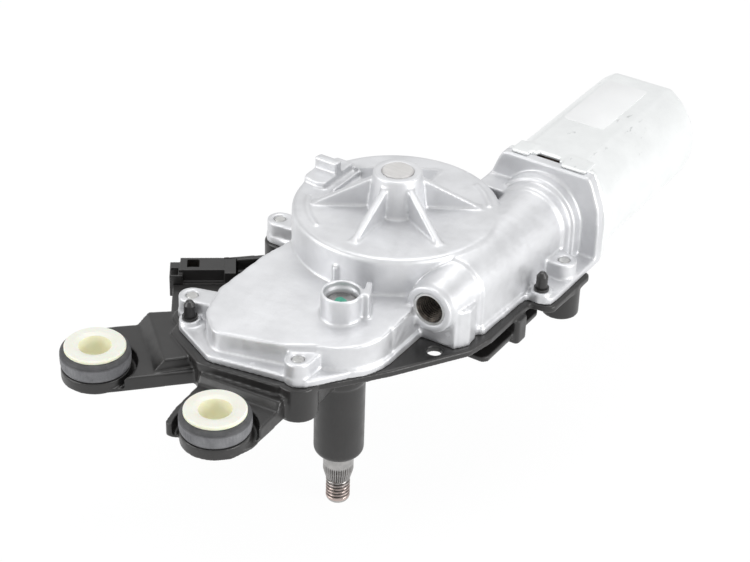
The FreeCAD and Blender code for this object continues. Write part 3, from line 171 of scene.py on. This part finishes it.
class Finish(Nodes):
    """A new material with one Principled shader."""

    def __init__(self, name):
        self.material = bpy.data.materials.new(name)
        self.material.use_nodes = True
        super().__init__(self.material.node_tree)
        self.shader = self.tree.nodes["Principled BSDF"]
        self.place = self.new("ShaderNodeTexCoord").outputs["Object"]

    def coordinates(self):
        """The place's X, Y and Z."""
        node = self.new("ShaderNodeSeparateXYZ")
        self.link(self.place, node.inputs["Vector"])
        return [node.outputs[axis] for axis in "XYZ"]

    def stretched(self, scale):
        """The place, scaled along each axis."""
        node = self.new("ShaderNodeMapping")
        node.inputs["Scale"].default_value = scale
        self.link(self.place, node.inputs["Vector"])
        return node.outputs["Vector"]

    def noise(self, size, detail=3.0, roughness=0.55, place=None):
        """Noise whose blotches are about that large, in metres."""
        node = self.new("ShaderNodeTexNoise")
        node.inputs["Scale"].default_value = 1.0 / size
        node.inputs["Detail"].default_value = detail
        node.inputs["Roughness"].default_value = roughness
        self.link(place or self.place, node.inputs["Vector"])
        return node.outputs["Fac"]

    def geometry(self, output):
        return self.new("ShaderNodeNewGeometry").outputs[output]

    def sharp_edges(self, low, high):
        """1 on sharp outer edges and 0 on flat faces, from the mesh's pointiness."""
        return self.ranged(self.geometry("Pointiness"), low, high)

    def corner_shade(self, low, high, share):
        """Up to share in inner corners and 0 on flat faces, from the mesh's pointiness: the mask
        for painted shade.
        """
        return self.ranged(self.geometry("Pointiness"), low, high, share, 0.0)

    def bump(self, height, distance, strength, below=None):
        node = self.new("ShaderNodeBump")
        node.inputs["Distance"].default_value = distance
        node.inputs["Strength"].default_value = strength
        self.link(height, node.inputs["Height"])
        if below is not None:
            self.link(below, node.inputs["Normal"])
        return node.outputs["Normal"]

    def finished(self, color, roughness, normal, **constants):
        """Links the shader's inputs, sets the constants on the sockets that they spell in
        lower case, and returns the material."""
        for value, name in ((color, "Base Color"), (roughness, "Roughness"), (normal, "Normal")):
            self.link(value, self.shader.inputs[name])
        for name, value in constants.items():
            socket = name.replace("_", " ").title().replace("Ior", "IOR")
            self.shader.inputs[socket].default_value = value
        return self.material


def shaded(color, factor):
    """The colour made darker or lighter by the factor."""
    return tuple(min(1.0, channel * factor) for channel in color)


def cast_metal():
    """Die-cast aluminium: pale satin skin, fine grain, soft flow blotches, edges made brighter
    as wear and as a painted highlight, and painted shade in the inner corners."""
    nodes = Finish("cast_aluminium")
    skin = (0.70, 0.704, 0.718)
    cloud = nodes.ranged(nodes.noise(14 * MM, 3.0, 0.6), 0.35, 0.68)
    grain = nodes.noise(0.45 * MM, 4.0, 0.7)
    color = nodes.mixed(cloud, shaded(skin, 0.93), shaded(skin, 1.05))
    color = nodes.mixed(nodes.ranged(grain, 0.62, 0.75, 0.0, 0.35), color, shaded(skin, 0.80))
    # Painted shade: inner corners are darkened down to 0.55 of the skin's colour.
    color = nodes.mixed(nodes.corner_shade(0.42, 0.485, 0.7), color, shaded(skin, 0.55))
    # Sharp edges made brighter: partly wear, partly a painted highlight.
    color = nodes.mixed(nodes.sharp_edges(0.52, 0.60), color, shaded(skin, 1.18))
    rough = nodes.ranged(nodes.noise(3 * MM, 4.0), 0.3, 0.7, 0.40, 0.54)
    normal = nodes.bump(grain, 0.035 * MM, 0.55)
    normal = nodes.bump(nodes.noise(5 * MM, 2.0), 0.25 * MM, 0.35, normal)
    return nodes.finished(color, rough, normal, metallic=0.78)


def moulded_plastic(name, color, grain_size, depth, roughness, shine=0.5):
    """Moulded plastic with a fine eroded grain and faint paler scuffs on its edges."""
    nodes = Finish(name)
    grain = nodes.noise(grain_size, 3.0, 0.6)
    tint = nodes.mixed(nodes.ranged(nodes.noise(9 * MM), 0.35, 0.7), shaded(color, 0.85),
                       shaded(color, 1.2))
    tint = nodes.mixed(nodes.sharp_edges(0.53, 0.62), tint, shaded(color, 2.0))
    rough = nodes.ranged(nodes.noise(4 * MM), 0.3, 0.7, roughness - 0.06, roughness + 0.08)
    return nodes.finished(tint, rough, nodes.bump(grain, depth, 0.6), metallic=0.0,
                          specular_ior_level=shine)


def seal_rubber():
    """Dull black rubber with a dusty bloom and shallow pitting."""
    nodes = Finish("seal_rubber")
    color = (0.025, 0.025, 0.026)
    bloom = nodes.ranged(nodes.noise(6 * MM, 4.0, 0.65), 0.42, 0.72)
    tint = nodes.mixed(bloom, color, shaded(color, 1.7))
    pits = nodes.noise(0.8 * MM, 4.0, 0.65)
    rough = nodes.ranged(pits, 0.3, 0.7, 0.54, 0.72)
    return nodes.finished(tint, rough, nodes.bump(pits, 0.05 * MM, 0.6), metallic=0.0)


def grommet_rubber():
    """Dark grey rubber, chalky on the band round its side and darker on its rounded lip."""
    nodes = Finish("grey_rubber")
    band_top = GROMMET_TOP - 1.5 * MM
    height = nodes.coordinates()[2]
    band = nodes.ranged(height, band_top - 0.5 * MM, band_top, 1.0, 0.0)
    bloom = nodes.ranged(nodes.noise(5 * MM, 4.0, 0.65), 0.36, 0.70)
    chalk = nodes.mixed(bloom, (0.135, 0.135, 0.142), (0.215, 0.215, 0.222))
    dark = nodes.mixed(bloom, (0.050, 0.050, 0.052), (0.085, 0.085, 0.088))
    pits = nodes.noise(0.8 * MM, 4.0, 0.65)
    rough = nodes.ranged(pits, 0.3, 0.7, 0.52, 0.70)
    normal = nodes.bump(pits, 0.05 * MM, 0.6)
    return nodes.finished(nodes.mixed(band, dark, chalk), rough, normal, metallic=0.0)


def steel(name, color, roughness, along, stain=0.75):
    """Turned, drawn or ground metal with fine lines along one axis and faint stains."""
    nodes = Finish(name)
    scale = [1.0, 1.0, 1.0]
    scale["xyz".index(along)] = 0.04
    lines = nodes.noise(0.35 * MM, 3.0, 0.6, nodes.stretched(scale))
    cloud = nodes.ranged(nodes.noise(7 * MM, 4.0, 0.6), 0.38, 0.70)
    tint = nodes.mixed(cloud, shaded(color, stain), color)
    tint = nodes.mixed(nodes.ranged(lines, 0.45, 0.70, 0.0, 0.5), tint, shaded(color, 1.15))
    rough = nodes.ranged(lines, 0.3, 0.7, roughness - 0.05, roughness + 0.10)
    return nodes.finished(tint, rough, nodes.bump(lines, 0.01 * MM, 0.5), metallic=1.0)


def plated_can():
    """Pale zinc plating over drawn steel, with milky clouds, small spangles and a few scuffs."""
    nodes = Finish("plated_can")
    skin = (0.86, 0.872, 0.868)
    spangle = (0.74, 0.77, 0.76)
    bare = (0.36, 0.37, 0.37)
    cloud = nodes.ranged(nodes.noise(10 * MM, 4.0, 0.6), 0.35, 0.68)
    speck = nodes.noise(1.3 * MM, 4.0, 0.7)
    color = nodes.mixed(cloud, shaded(skin, 0.97), shaded(skin, 1.04))
    color = nodes.mixed(nodes.ranged(speck, 0.62, 0.72, 0.0, 0.35), color, spangle)
    rubbed = nodes.ranged(nodes.noise(17 * MM, 2.0, 0.5), 0.59, 0.66)
    streaks = nodes.noise(1.6 * MM, 3.0, 0.6, nodes.stretched((1.0, 0.30, 1.0)))
    scuffs = nodes.math("MULTIPLY", rubbed, nodes.ranged(streaks, 0.60, 0.67, 0.0, 0.45))
    color = nodes.mixed(scuffs, color, bare)
    rough = nodes.ranged(speck, 0.3, 0.7, 0.30, 0.46)
    return nodes.finished(color, rough, nodes.bump(speck, 0.02 * MM, 0.5), metallic=0.55)


def sleeve_plastic():
    """Ivory plastic that lets a little light through, with painted light in a brighter, yellower
    colour on its upright walls, the bore's among them.
    """
    nodes = Finish("cream_plastic")
    cloud = nodes.ranged(nodes.noise(5 * MM), 0.35, 0.7)
    face = nodes.mixed(cloud, (0.85, 0.84, 0.74), (0.88, 0.87, 0.79))
    # Painted light: the brighter, yellower colour for the upright walls and the bore.
    bore = nodes.mixed(cloud, (0.95, 0.92, 0.68), (0.97, 0.95, 0.76))
    tilt = nodes.new("ShaderNodeSeparateXYZ")
    nodes.link(nodes.geometry("True Normal"), tilt.inputs["Vector"])
    upright = nodes.math("ABSOLUTE", tilt.outputs["Z"])
    # Painted light: faces that stand upright, the bore's walls among them, get the brighter,
    # yellower colour.
    color = nodes.mixed(nodes.ranged(upright, 0.3, 0.8), bore, face)
    grain = nodes.noise(0.6 * MM, 3.0)
    rough = nodes.ranged(grain, 0.3, 0.7, 0.36, 0.48)
    return nodes.finished(color, rough, nodes.bump(grain, 0.02 * MM, 0.5), metallic=0.0,
                          subsurface_weight=0.15, subsurface_scale=0.002)


def threaded_steel():
    """Oiled steel with painted shade in the roots of the splines and the thread, and coppery on
    its crests.
    """
    nodes = Finish("dark_steel")
    root_depth = 0.42 * MM
    crest_depth = 0.06 * MM
    copper_height = 3.0 * MM
    copper_share = 0.40
    across, forward, height = nodes.coordinates()
    outline = nodes.ranged(height, CONE_END, CONE_TOP, THREAD_RADIUS, SHAFT_RADIUS)
    relief = nodes.math("SUBTRACT", nodes.reach(across, forward), outline)
    crest = nodes.ranged(relief, -root_depth, -crest_depth)
    above = nodes.ranged(height, SPLINE_TOP - 0.2 * MM, SPLINE_TOP)
    tip = nodes.ranged(height, THREAD_LOW - 0.2 * MM, THREAD_LOW, 1.0, 0.0)
    copper = nodes.ranged(height, CONE_END - copper_height, CONE_END, copper_share, 0.0)
    copper = nodes.math("SUBTRACT", copper, nodes.math("MULTIPLY", tip, copper_share))
    smear = nodes.ranged(nodes.noise(2.2 * MM, 3.0, 0.55), 0.36, 0.70)
    color = nodes.mixed(smear, (0.36, 0.355, 0.35), (0.47, 0.46, 0.45))
    color = nodes.mixed(copper, color, (0.66, 0.45, 0.38))
    # Painted shade: the roots of the splines and the thread are darkened; the crests, the shaft
    # above the splines and the tip keep the steel's colour.
    color = nodes.mixed(nodes.most(crest, above, tip), (0.085, 0.076, 0.072), color)
    grain = nodes.noise(0.3 * MM, 4.0)
    rough = nodes.ranged(grain, 0.3, 0.7, 0.26, 0.42)
    return nodes.finished(color, rough, nodes.bump(grain, 0.012 * MM, 0.6), metallic=1.0)


def dark_bore_lining():
    """Bright steel at the lining's face, nearly black with faint blotches down its bore."""
    nodes = Finish("dark_bore_steel")
    x, _, z = nodes.coordinates()
    radius = nodes.reach(nodes.math("SUBTRACT", x, MOTOR_X), nodes.math("SUBTRACT", z, MOTOR_Z))
    face = nodes.ranged(radius, 4.6 * MM, 4.9 * MM)
    smear = nodes.ranged(nodes.noise(1.5 * MM, 4.0, 0.65), 0.38, 0.68)
    # The bore is made nearly black, with faint blotches.
    bore_dark = nodes.mixed(smear, (0.035, 0.031, 0.027), (0.125, 0.108, 0.092))
    color = nodes.mixed(face, bore_dark, (0.60, 0.60, 0.59))
    rough = nodes.ranged(smear, 0.0, 1.0, 0.30, 0.46)
    grain = nodes.noise(0.3 * MM, 4.0)
    return nodes.finished(color, rough, nodes.bump(grain, 0.01 * MM, 0.5), metallic=0.9)


def paint_dot():
    """A brushed dab of teal marking paint."""
    nodes = Finish("marking_paint")
    streak = nodes.noise(0.7 * MM, 4.0, 0.7)
    color = nodes.mixed(nodes.ranged(streak, 0.4, 0.65), (0.05, 0.38, 0.25), (0.13, 0.50, 0.37))
    rough = nodes.ranged(streak, 0.3, 0.7, 0.35, 0.55)
    return nodes.finished(color, rough, nodes.bump(streak, 0.05 * MM, 0.6), metallic=0.0)


def sticker_paper():
    """Plain white sticker film with a faint wrinkle."""
    nodes = Finish("sticker_film")
    fibre = nodes.noise(0.5 * MM, 3.0)
    cloud = nodes.ranged(nodes.noise(12 * MM), 0.35, 0.7)
    color = nodes.mixed(cloud, (0.86, 0.86, 0.855), (0.89, 0.89, 0.885))
    rough = nodes.ranged(fibre, 0.3, 0.7, 0.34, 0.46)
    normal = nodes.bump(nodes.noise(4 * MM, 2.0), 0.08 * MM, 0.3)
    return nodes.finished(color, rough, normal, metallic=0.0)


MATERIALS = {
    "cast_aluminium": cast_metal(),
    "black_plastic": moulded_plastic("black_plastic", (0.019, 0.018, 0.0175), 0.35 * MM,
                                     0.025 * MM, 0.34, 0.62),
    "grey_rubber": grommet_rubber(),
    "cream_plastic": sleeve_plastic(),
    "zinc_steel": steel("zinc_steel", (0.66, 0.66, 0.65), 0.34, "z"),
    "machined_steel": steel("machined_steel", (0.55, 0.55, 0.56), 0.28, "y"),
    "spring_steel": steel("spring_steel", (0.32, 0.32, 0.33), 0.32, "x"),
    "dark_steel": threaded_steel(),
    "bronze": steel("bronze", (0.62, 0.42, 0.24), 0.40, "z"),
    "cap_aluminium": steel("cap_aluminium", (0.66, 0.65, 0.64), 0.46, "x", 0.92),
    "white_acetal": moulded_plastic("white_acetal", (0.74, 0.74, 0.70), 0.6 * MM, 0.01 * MM,
                                    0.36),
    "contact_brass": steel("contact_brass", (0.75, 0.58, 0.30), 0.26, "x"),
    "seal_rubber": seal_rubber(),
    "plated_can": plated_can(),
    "ferrite": moulded_plastic("ferrite", (0.06, 0.06, 0.065), 0.5 * MM, 0.02 * MM, 0.5),
    "lamination_steel": steel("lamination_steel", (0.30, 0.30, 0.32), 0.42, "x"),
    "copper_winding": steel("copper_winding", (0.62, 0.27, 0.12), 0.32, "x"),
    "commutator_copper": steel("commutator_copper", (0.78, 0.42, 0.26), 0.28, "x"),
    "brown_plastic": moulded_plastic("brown_plastic", (0.060, 0.036, 0.026), 0.6 * MM,
                                     0.02 * MM, 0.5),
    "carbon": moulded_plastic("carbon", (0.035, 0.035, 0.037), 0.3 * MM, 0.02 * MM, 0.55),
}
SLOT_OF = {part["node"]: part["material_slot"] for part in frame["record"]["subparts"]}
BODY_OF = {node: body for body, members in frame["record"]["behaviour"]["bodies"].items()
           for node in members}


def painted(piece, material):
    piece.data.materials.clear()
    piece.data.materials.append(material)


def smooth_by_angle(mesh, degrees):
    """Smooth shading, apart from edges that turn by more than the angle."""
    mesh.shade_smooth()
    work = bmesh.new()
    work.from_mesh(mesh)
    for edge in work.edges:
        sharp = len(edge.link_faces) != 2 or edge.calc_face_angle(0.0) > math.radians(degrees)
        edge.smooth = not sharp
    work.to_mesh(mesh)
    work.free()


def new_piece(name, points, faces, body, slot, sharp, material=None):
    """A piece from points and faces, riding on the body, in the slot's material or its own."""
    mesh = bpy.data.meshes.new(name)
    mesh.from_pydata([tuple(point) for point in points], [], faces)
    mesh.validate()
    piece = bpy.data.objects.new(name, mesh)
    bpy.context.scene.collection.objects.link(piece)
    work = bmesh.new()
    work.from_mesh(mesh)
    bmesh.ops.remove_doubles(work, verts=work.verts, dist=1e-7)
    bmesh.ops.recalc_face_normals(work, faces=work.faces)
    work.to_mesh(mesh)
    work.free()
    painted(piece, material or MATERIALS[slot])
    smooth_by_angle(mesh, sharp)
    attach(piece, body)
    return piece


def moulded_skin(node, name, voxel, passes, added=None):
    """A copy of a CAD node with every edge and corner softened, as casting and moulding do;
    added may put more closed forms in its mesh first."""
    piece = bpy.data.objects.new(name, frame["nodes"][node].data.copy())
    bpy.context.scene.collection.objects.link(piece)
    work = bmesh.new()
    work.from_mesh(piece.data)
    bmesh.ops.remove_doubles(work, verts=work.verts, dist=1e-6)
    if added:
        added(work)
    work.to_mesh(piece.data)
    work.free()
    remesh = piece.modifiers.new("skin", "REMESH")
    remesh.mode = "VOXEL"
    remesh.voxel_size = voxel
    soften = piece.modifiers.new("soften", "SMOOTH")
    soften.factor = SOFTENING
    soften.iterations = passes
    thin = piece.modifiers.new("thin", "DECIMATE")
    thin.ratio = KEPT_FACES
    graph = bpy.context.evaluated_depsgraph_get()
    baked = bpy.data.meshes.new_from_object(piece.evaluated_get(graph))
    piece.modifiers.clear()
    piece.data = baked
    piece.data.shade_smooth()
    painted(piece, MATERIALS[SLOT_OF[node]])
    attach(piece, BODY_OF[node])
    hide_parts(node)


def stacked_faces(rows, around, ring=False):
    """Faces over rows of points, each row once around the form. Its ends are closed, but in a
    ring the last row is joined to the first."""
    faces = []
    for row in range(rows if ring else rows - 1):
        start, end = row * around, (row + 1) % rows * around
        for i in range(around):
            after = (i + 1) % around
            faces.append((start + i, start + after, end + after, end + i))
    if not ring:
        faces.append(tuple(range(around))[::-1])
        faces.append(tuple((rows - 1) * around + i for i in range(around)))
    return faces


def turned_points(profile, around, relief=None):
    """Points of a form turned from (radius, height) rows. relief may change a point's radius
    from its radius, height and angle."""
    points = []
    for radius, height in profile:
        for i in range(around):
            angle = 2 * math.pi * i / around
            here = relief(radius, height, angle) if relief else radius
            points.append(Vector((here * math.cos(angle), here * math.sin(angle), height)))
    return points


def dress_cad_nodes(replaced):
    """Materials and small bevels for the CAD nodes that stay."""
    for node, piece in frame["nodes"].items():
        if node in replaced:
            continue
        painted(piece, MATERIALS[SLOT_OF[node]])
        bevel = piece.modifiers.new("edge", "BEVEL")
        bevel.width = 0.12 * MM
        bevel.segments = 2
        bevel.limit_method = "ANGLE"
        bevel.angle_limit = math.radians(40)


def connector_walls(work):
    """Closes the top of the connector's lower step and the side of its latch rail, with boxes
    given in millimetres from its mouth."""
    step_roof = ((3.0, -4.7, -7.6), (10.5, -2.0, -6.6))
    rail_side = ((3.0, -2.9, -7.6), (18.2, -2.2, -2.2))
    place = Matrix.Translation((*CONNECTOR_MOUTH, PARTING))
    place = place @ Matrix.Rotation(CONNECTOR_ANGLE, 4, "Z")
    for corners in (step_roof, rail_side):
        low, high = (Vector(corner) * MM for corner in corners)
        middle = Matrix.Translation((low + high) / 2)
        bmesh.ops.create_cube(work, size=1.0,
                              matrix=place @ middle @ Matrix.Diagonal((*(high - low), 1.0)))


def spindle_radius(height):
    """The outer radius of the spindle's end: bare shaft, cone, thread."""
    if height > CONE_TOP:
        return SHAFT_RADIUS
    if height > CONE_END:
        share = (CONE_TOP - height) / (CONE_TOP - CONE_END)
        return SHAFT_RADIUS + (THREAD_RADIUS - SHAFT_RADIUS) * share
    return THREAD_RADIUS


def saw(turns):
    """A triangle wave from 1 to 0 and back over each whole turn."""
    return abs(2 * (turns - math.floor(turns)) - 1)


def spindle_relief(radius, height, angle):
    """Splines that run out onto the shaft, and under the cone a single-start thread."""
    splines = 40
    spline_depth = 0.40 * MM
    spline_runout = 1.2 * MM
    pitch = 1.25 * MM
    thread_depth = 0.62 * MM
    thread_runout = 1.0 * MM
    thread_start = CONE_END + 0.2 * MM
    turns = angle / (2 * math.pi)
    if thread_start < height < SPLINE_TOP:
        fade = min(1.0, (SPLINE_TOP - height) / spline_runout)
        return radius - spline_depth * fade * saw(splines * turns)
    if THREAD_LOW < height <= thread_start:
        fade = min(1.0, (height - THREAD_LOW) / thread_runout)
        return radius - thread_depth * fade * saw(height / pitch - turns)
    return radius


def spindle():
    """The whole shaft: chamfered top, groove, bare part, splined cone, thread and tip."""
    around = 216
    chamfer = 0.6 * MM
    plain_step = 0.8 * MM
    fine_step = 0.13 * MM
    edge = 0.01 * MM
    profile = [(SHAFT_RADIUS - chamfer, SHAFT_TOP), (SHAFT_RADIUS, SHAFT_TOP - chamfer),
               (SHAFT_RADIUS, GROOVE_TOP), (GROOVE_RADIUS, GROOVE_TOP - edge),
               (GROOVE_RADIUS, 0.0)]
    height = -edge
    while height > THREAD_LOW:
        profile.append((spindle_radius(height), height))
        height -= fine_step if height < SPLINE_TOP + plain_step else plain_step
    profile += [(THREAD_RADIUS - 0.05 * MM, THREAD_LOW - 0.05 * MM),
                (THREAD_RADIUS - 0.25 * MM, SHAFT_TIP + 0.8 * MM),
                (THREAD_RADIUS - 0.60 * MM, SHAFT_TIP + 0.3 * MM),
                (THREAD_RADIUS - 1.1 * MM, SHAFT_TIP)]
    piece = new_piece("spindle_shaft", turned_points(profile, around, spindle_relief),
                      stacked_faces(len(profile), around), "spindle", "dark_steel", sharp=50)
    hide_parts("output_spindle")


def spindle_paint():
    """The dab of marking paint on the shaft's upper end, down in its boss."""
    x, y = -0.2 * MM, -0.4 * MM
    radius = 2.0 * MM
    thickness = 0.09 * MM
    count = 40
    points = [Vector((x, y, SHAFT_TOP + thickness))]
    for share, rise in ((0.6, thickness), (1.0, 0.0)):
        for i in range(count):
            angle = 2 * math.pi * i / count
            ragged = 1 + 0.10 * math.sin(3 * angle + 1) + 0.05 * math.sin(7 * angle)
            reach = radius * share * ragged
            points.append(Vector((x + reach * math.cos(angle), y + reach * math.sin(angle),
                                  SHAFT_TOP + rise)))
    faces = [(0, 1 + i, 1 + (i + 1) % count) for i in range(count)]
    faces += [(1 + i, 1 + count + i, 1 + count + (i + 1) % count, 1 + (i + 1) % count)
              for i in range(count)]
    new_piece("spindle_paint_dab", points, faces, "spindle", "dark_steel", sharp=60,
              material=paint_dot())


def grommets():
    """Rubber rings with a rounded lip above, a soft waist and shallow ribs round the side."""
    around = 360
    ribs = 60
    rib_depth = 0.10 * MM
    bore = 7.1 * MM
    neck = 8.15 * MM
    lip = 9.25 * MM
    seat = PARTING - 6.5 * MM
    foot = PARTING - 10.6 * MM
    for node, (x, y) in EYES.items():
        low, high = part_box(node)
        top = high.z
        outer = (high.x - low.x) / 2 - 0.05 * MM
        side_top = top - 1.9 * MM
        side_low = top - 5.0 * MM
        profile = [(bore, top), (outer - 1.5 * MM, top), (outer - 0.8 * MM, top - 0.12 * MM),
                   (outer - 0.25 * MM, top - 0.55 * MM), (outer - 0.05 * MM, top - 1.1 * MM),
                   (outer - 0.35 * MM, top - 1.35 * MM), (outer - 0.35 * MM, top - 1.6 * MM),
                   (outer, side_top), (outer, top - 2.6 * MM), (outer, top - 3.4 * MM),
                   (outer, top - 4.2 * MM), (outer - 0.15 * MM, top - 5.2 * MM),
                   (outer - 0.7 * MM, seat + 0.1 * MM), (outer - 1.3 * MM, seat), (neck, seat),
                   (neck, foot), (lip, foot), (lip, low.z + 0.6 * MM), (lip - 0.6 * MM, low.z),
                   (bore, low.z)]

        def ribbed(radius, height, angle):
            if side_low < height < side_top and radius > outer - 0.3 * MM:
                return radius - rib_depth * (1 - max(0.0, math.cos(ribs * angle)))
            return radius

        points = [point + Vector((x, y, 0)) for point in turned_points(profile, around, ribbed)]
        faces = stacked_faces(len(profile), around, ring=True)
        piece = new_piece(node + "_rubber", points, faces, "housing", "grey_rubber", sharp=50)
        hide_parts(node)


def end_lining():
    """The thin lining in the worm tube's open end, with rings turned into its bore."""
    around = 96
    bore = 4.1 * MM
    ring_bore = 3.75 * MM
    ring_pitch = 1.0 * MM
    low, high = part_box("worm_end_lining")
    outer = (high.x - low.x) / 2
    length = high.y - low.y
    profile = [(outer, 0.0), (outer, length), (bore, length)]
    depth = length - 0.4 * MM
    while depth > 1.2 * MM:
        profile += [(ring_bore, depth), (ring_bore, depth - 0.4 * MM), (bore, depth - 0.6 * MM),
                    (bore, depth - 0.8 * MM)]
        depth -= ring_pitch
    profile += [(bore, 0.7 * MM), (4.6 * MM, 0.35 * MM), (4.8 * MM, 0.0)]
    points = [Vector((MOTOR_X + point.x, low.y + point.z, MOTOR_Z + point.y))
              for point in turned_points(profile, around)]
    faces = stacked_faces(len(profile), around, ring=True)
    piece = new_piece("worm_tube_lining", points, faces, "housing", "zinc_steel", sharp=35,
                      material=dark_bore_lining())
    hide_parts("worm_end_lining")


def can_sticker():
    """A blank white sticker with rounded corners, on the left of the can's flat top."""
    left, right = MOTOR_X - 10.1 * MM, MOTOR_X + 5.3 * MM
    front, back = CAN_FRONT + 27.0 * MM, CAN_FRONT + 61.0 * MM
    corner = 1.2 * MM
    corner_steps = 6
    layers = ((0.0, 0.0), (0.0, 0.10 * MM), (0.06 * MM, 0.13 * MM))
    middle = Vector(((left + right) / 2, (front + back) / 2))
    outline = []
    for turn, (x, y) in enumerate(((right, back), (left, back), (left, front), (right, front))):
        corner_x = x - math.copysign(corner, x - middle.x)
        corner_y = y - math.copysign(corner, y - middle.y)
        for i in range(corner_steps + 1):
            angle = (turn + i / corner_steps) * math.pi / 2
            outline.append((corner_x + corner * math.cos(angle),
                            corner_y + corner * math.sin(angle)))
    points = []
    for inset, rise in layers:
        for x, y in outline:
            points.append(Vector((x - math.copysign(inset, x - middle.x),
                                  y - math.copysign(inset, y - middle.y),
                                  MOTOR_Z + CAN_FLAT + rise)))
    faces = stacked_faces(len(layers), len(outline))
    new_piece("can_sticker", points, faces, "housing", "plated_can", sharp=40,
              material=sticker_paper())


def floor_material():
    """White floor that the camera sees as plain white with a faint shadow."""
    glow_share = 0.94
    nodes = Finish("floor_white")
    nodes.shader.inputs["Base Color"].default_value = (0.9, 0.9, 0.9, 1)
    nodes.shader.inputs["Roughness"].default_value = 0.9
    glow = nodes.new("ShaderNodeEmission")
    glow.inputs["Strength"].default_value = 1.02
    path = nodes.new("ShaderNodeLightPath")
    seen = nodes.most(path.outputs["Is Camera Ray"], path.outputs["Is Glossy Ray"])
    surface = nodes.blended(nodes.math("MULTIPLY", seen, glow_share), nodes.shader.outputs[0],
                            glow.outputs[0])
    nodes.link(surface, nodes.tree.nodes["Material Output"].inputs["Surface"])
    return nodes.material


def studio_floor():
    """A plane just under the spindle's tip."""
    level = SHAFT_TIP - 0.1 * MM
    mesh = bpy.data.meshes.new("floor")
    corners = [(x * FLOOR_HALF, y * FLOOR_HALF, level)
               for x, y in ((-1, -1), (1, -1), (1, 1), (-1, 1))]
    mesh.from_pydata(corners, [], [(0, 1, 2, 3)])
    floor = bpy.data.objects.new("floor", mesh)
    bpy.context.scene.collection.objects.link(floor)
    floor.data.materials.append(floor_material())


def studio_world():
    """White to the camera, a little greyer in reflections, and a soft fill on the object."""
    world = bpy.data.worlds.new("studio")
    bpy.context.scene.world = world
    world.use_nodes = True
    world.node_tree.nodes.clear()
    nodes = Nodes(world.node_tree)
    path = nodes.new("ShaderNodeLightPath")
    backdrop = nodes.new("ShaderNodeBackground")
    backdrop.inputs["Strength"].default_value = 1.0
    tone = nodes.mixed(path.outputs["Is Camera Ray"], (0.8, 0.8, 0.8), (1.0, 1.0, 1.0))
    nodes.link(tone, backdrop.inputs["Color"])
    fill = nodes.new("ShaderNodeBackground")
    fill.inputs["Color"].default_value = (0.96, 0.98, 1.0, 1)
    fill.inputs["Strength"].default_value = 0.55
    seen = nodes.most(path.outputs["Is Camera Ray"], path.outputs["Is Transmission Ray"],
                      path.outputs["Is Glossy Ray"])
    output = nodes.new("ShaderNodeOutputWorld")
    nodes.link(nodes.blended(seen, fill.outputs[0], backdrop.outputs[0]),
               output.inputs["Surface"])


def studio_lamps():
    """Soft round lamps that all face the part."""
    for name, place, power in LAMPS:
        light = bpy.data.lights.new(name, "AREA")
        light.shape = "DISK"
        light.size = LAMP_SIZE
        light.energy = power
        lamp = bpy.data.objects.new(name, light)
        lamp.location = place
        aim = LAMP_AIM - Vector(place)
        lamp.rotation_euler = aim.to_track_quat("-Z", "Y").to_euler()
        bpy.context.scene.collection.objects.link(lamp)


def photo_camera():
    """The photograph's camera, turned by its yaw, then pitched down, then rolled."""
    level = Vector((-math.sin(CAMERA_YAW), math.cos(CAMERA_YAW), 0))
    side = Vector((math.cos(CAMERA_YAW), math.sin(CAMERA_YAW), 0))
    upright = Vector((0, 0, 1))
    forward = level * math.cos(CAMERA_PITCH) - upright * math.sin(CAMERA_PITCH)
    above = level * math.sin(CAMERA_PITCH) + upright * math.cos(CAMERA_PITCH)
    right = side * math.cos(CAMERA_ROLL) + above * math.sin(CAMERA_ROLL)
    up = above * math.cos(CAMERA_ROLL) - side * math.sin(CAMERA_ROLL)
    data = bpy.data.cameras.new("photo_camera")
    data.sensor_width = 36.0
    data.lens = FOCAL_PIXELS / PHOTO_WIDTH * data.sensor_width
    data.clip_start = 0.01
    data.clip_end = 50.0
    camera = bpy.data.objects.new("photo_camera", data)
    turn = Matrix((right, up, -forward)).transposed().to_4x4()
    camera.matrix_world = Matrix.Translation(CAMERA_PLACE) @ turn
    bpy.context.scene.collection.objects.link(camera)
    bpy.context.scene.camera = camera


dress_cad_nodes({"gear_housing", "base_cover", "motor_can", "connector_socket",
                 "output_spindle", "worm_end_lining", *EYES})
moulded_skin("gear_housing", "housing_casting", voxel=0.45 * MM, passes=6)
moulded_skin("base_cover", "cover_moulding", voxel=0.45 * MM, passes=3)
moulded_skin("motor_can", "can_shell", voxel=0.40 * MM, passes=6)
moulded_skin("connector_socket", "connector_shell", voxel=0.20 * MM, passes=2,
             added=connector_walls)
end_lining()
spindle()
spindle_paint()
grommets()
can_sticker()
bpy.context.scene.view_settings.view_transform = "Standard"
studio_floor()
studio_world()
studio_lamps()
photo_camera()
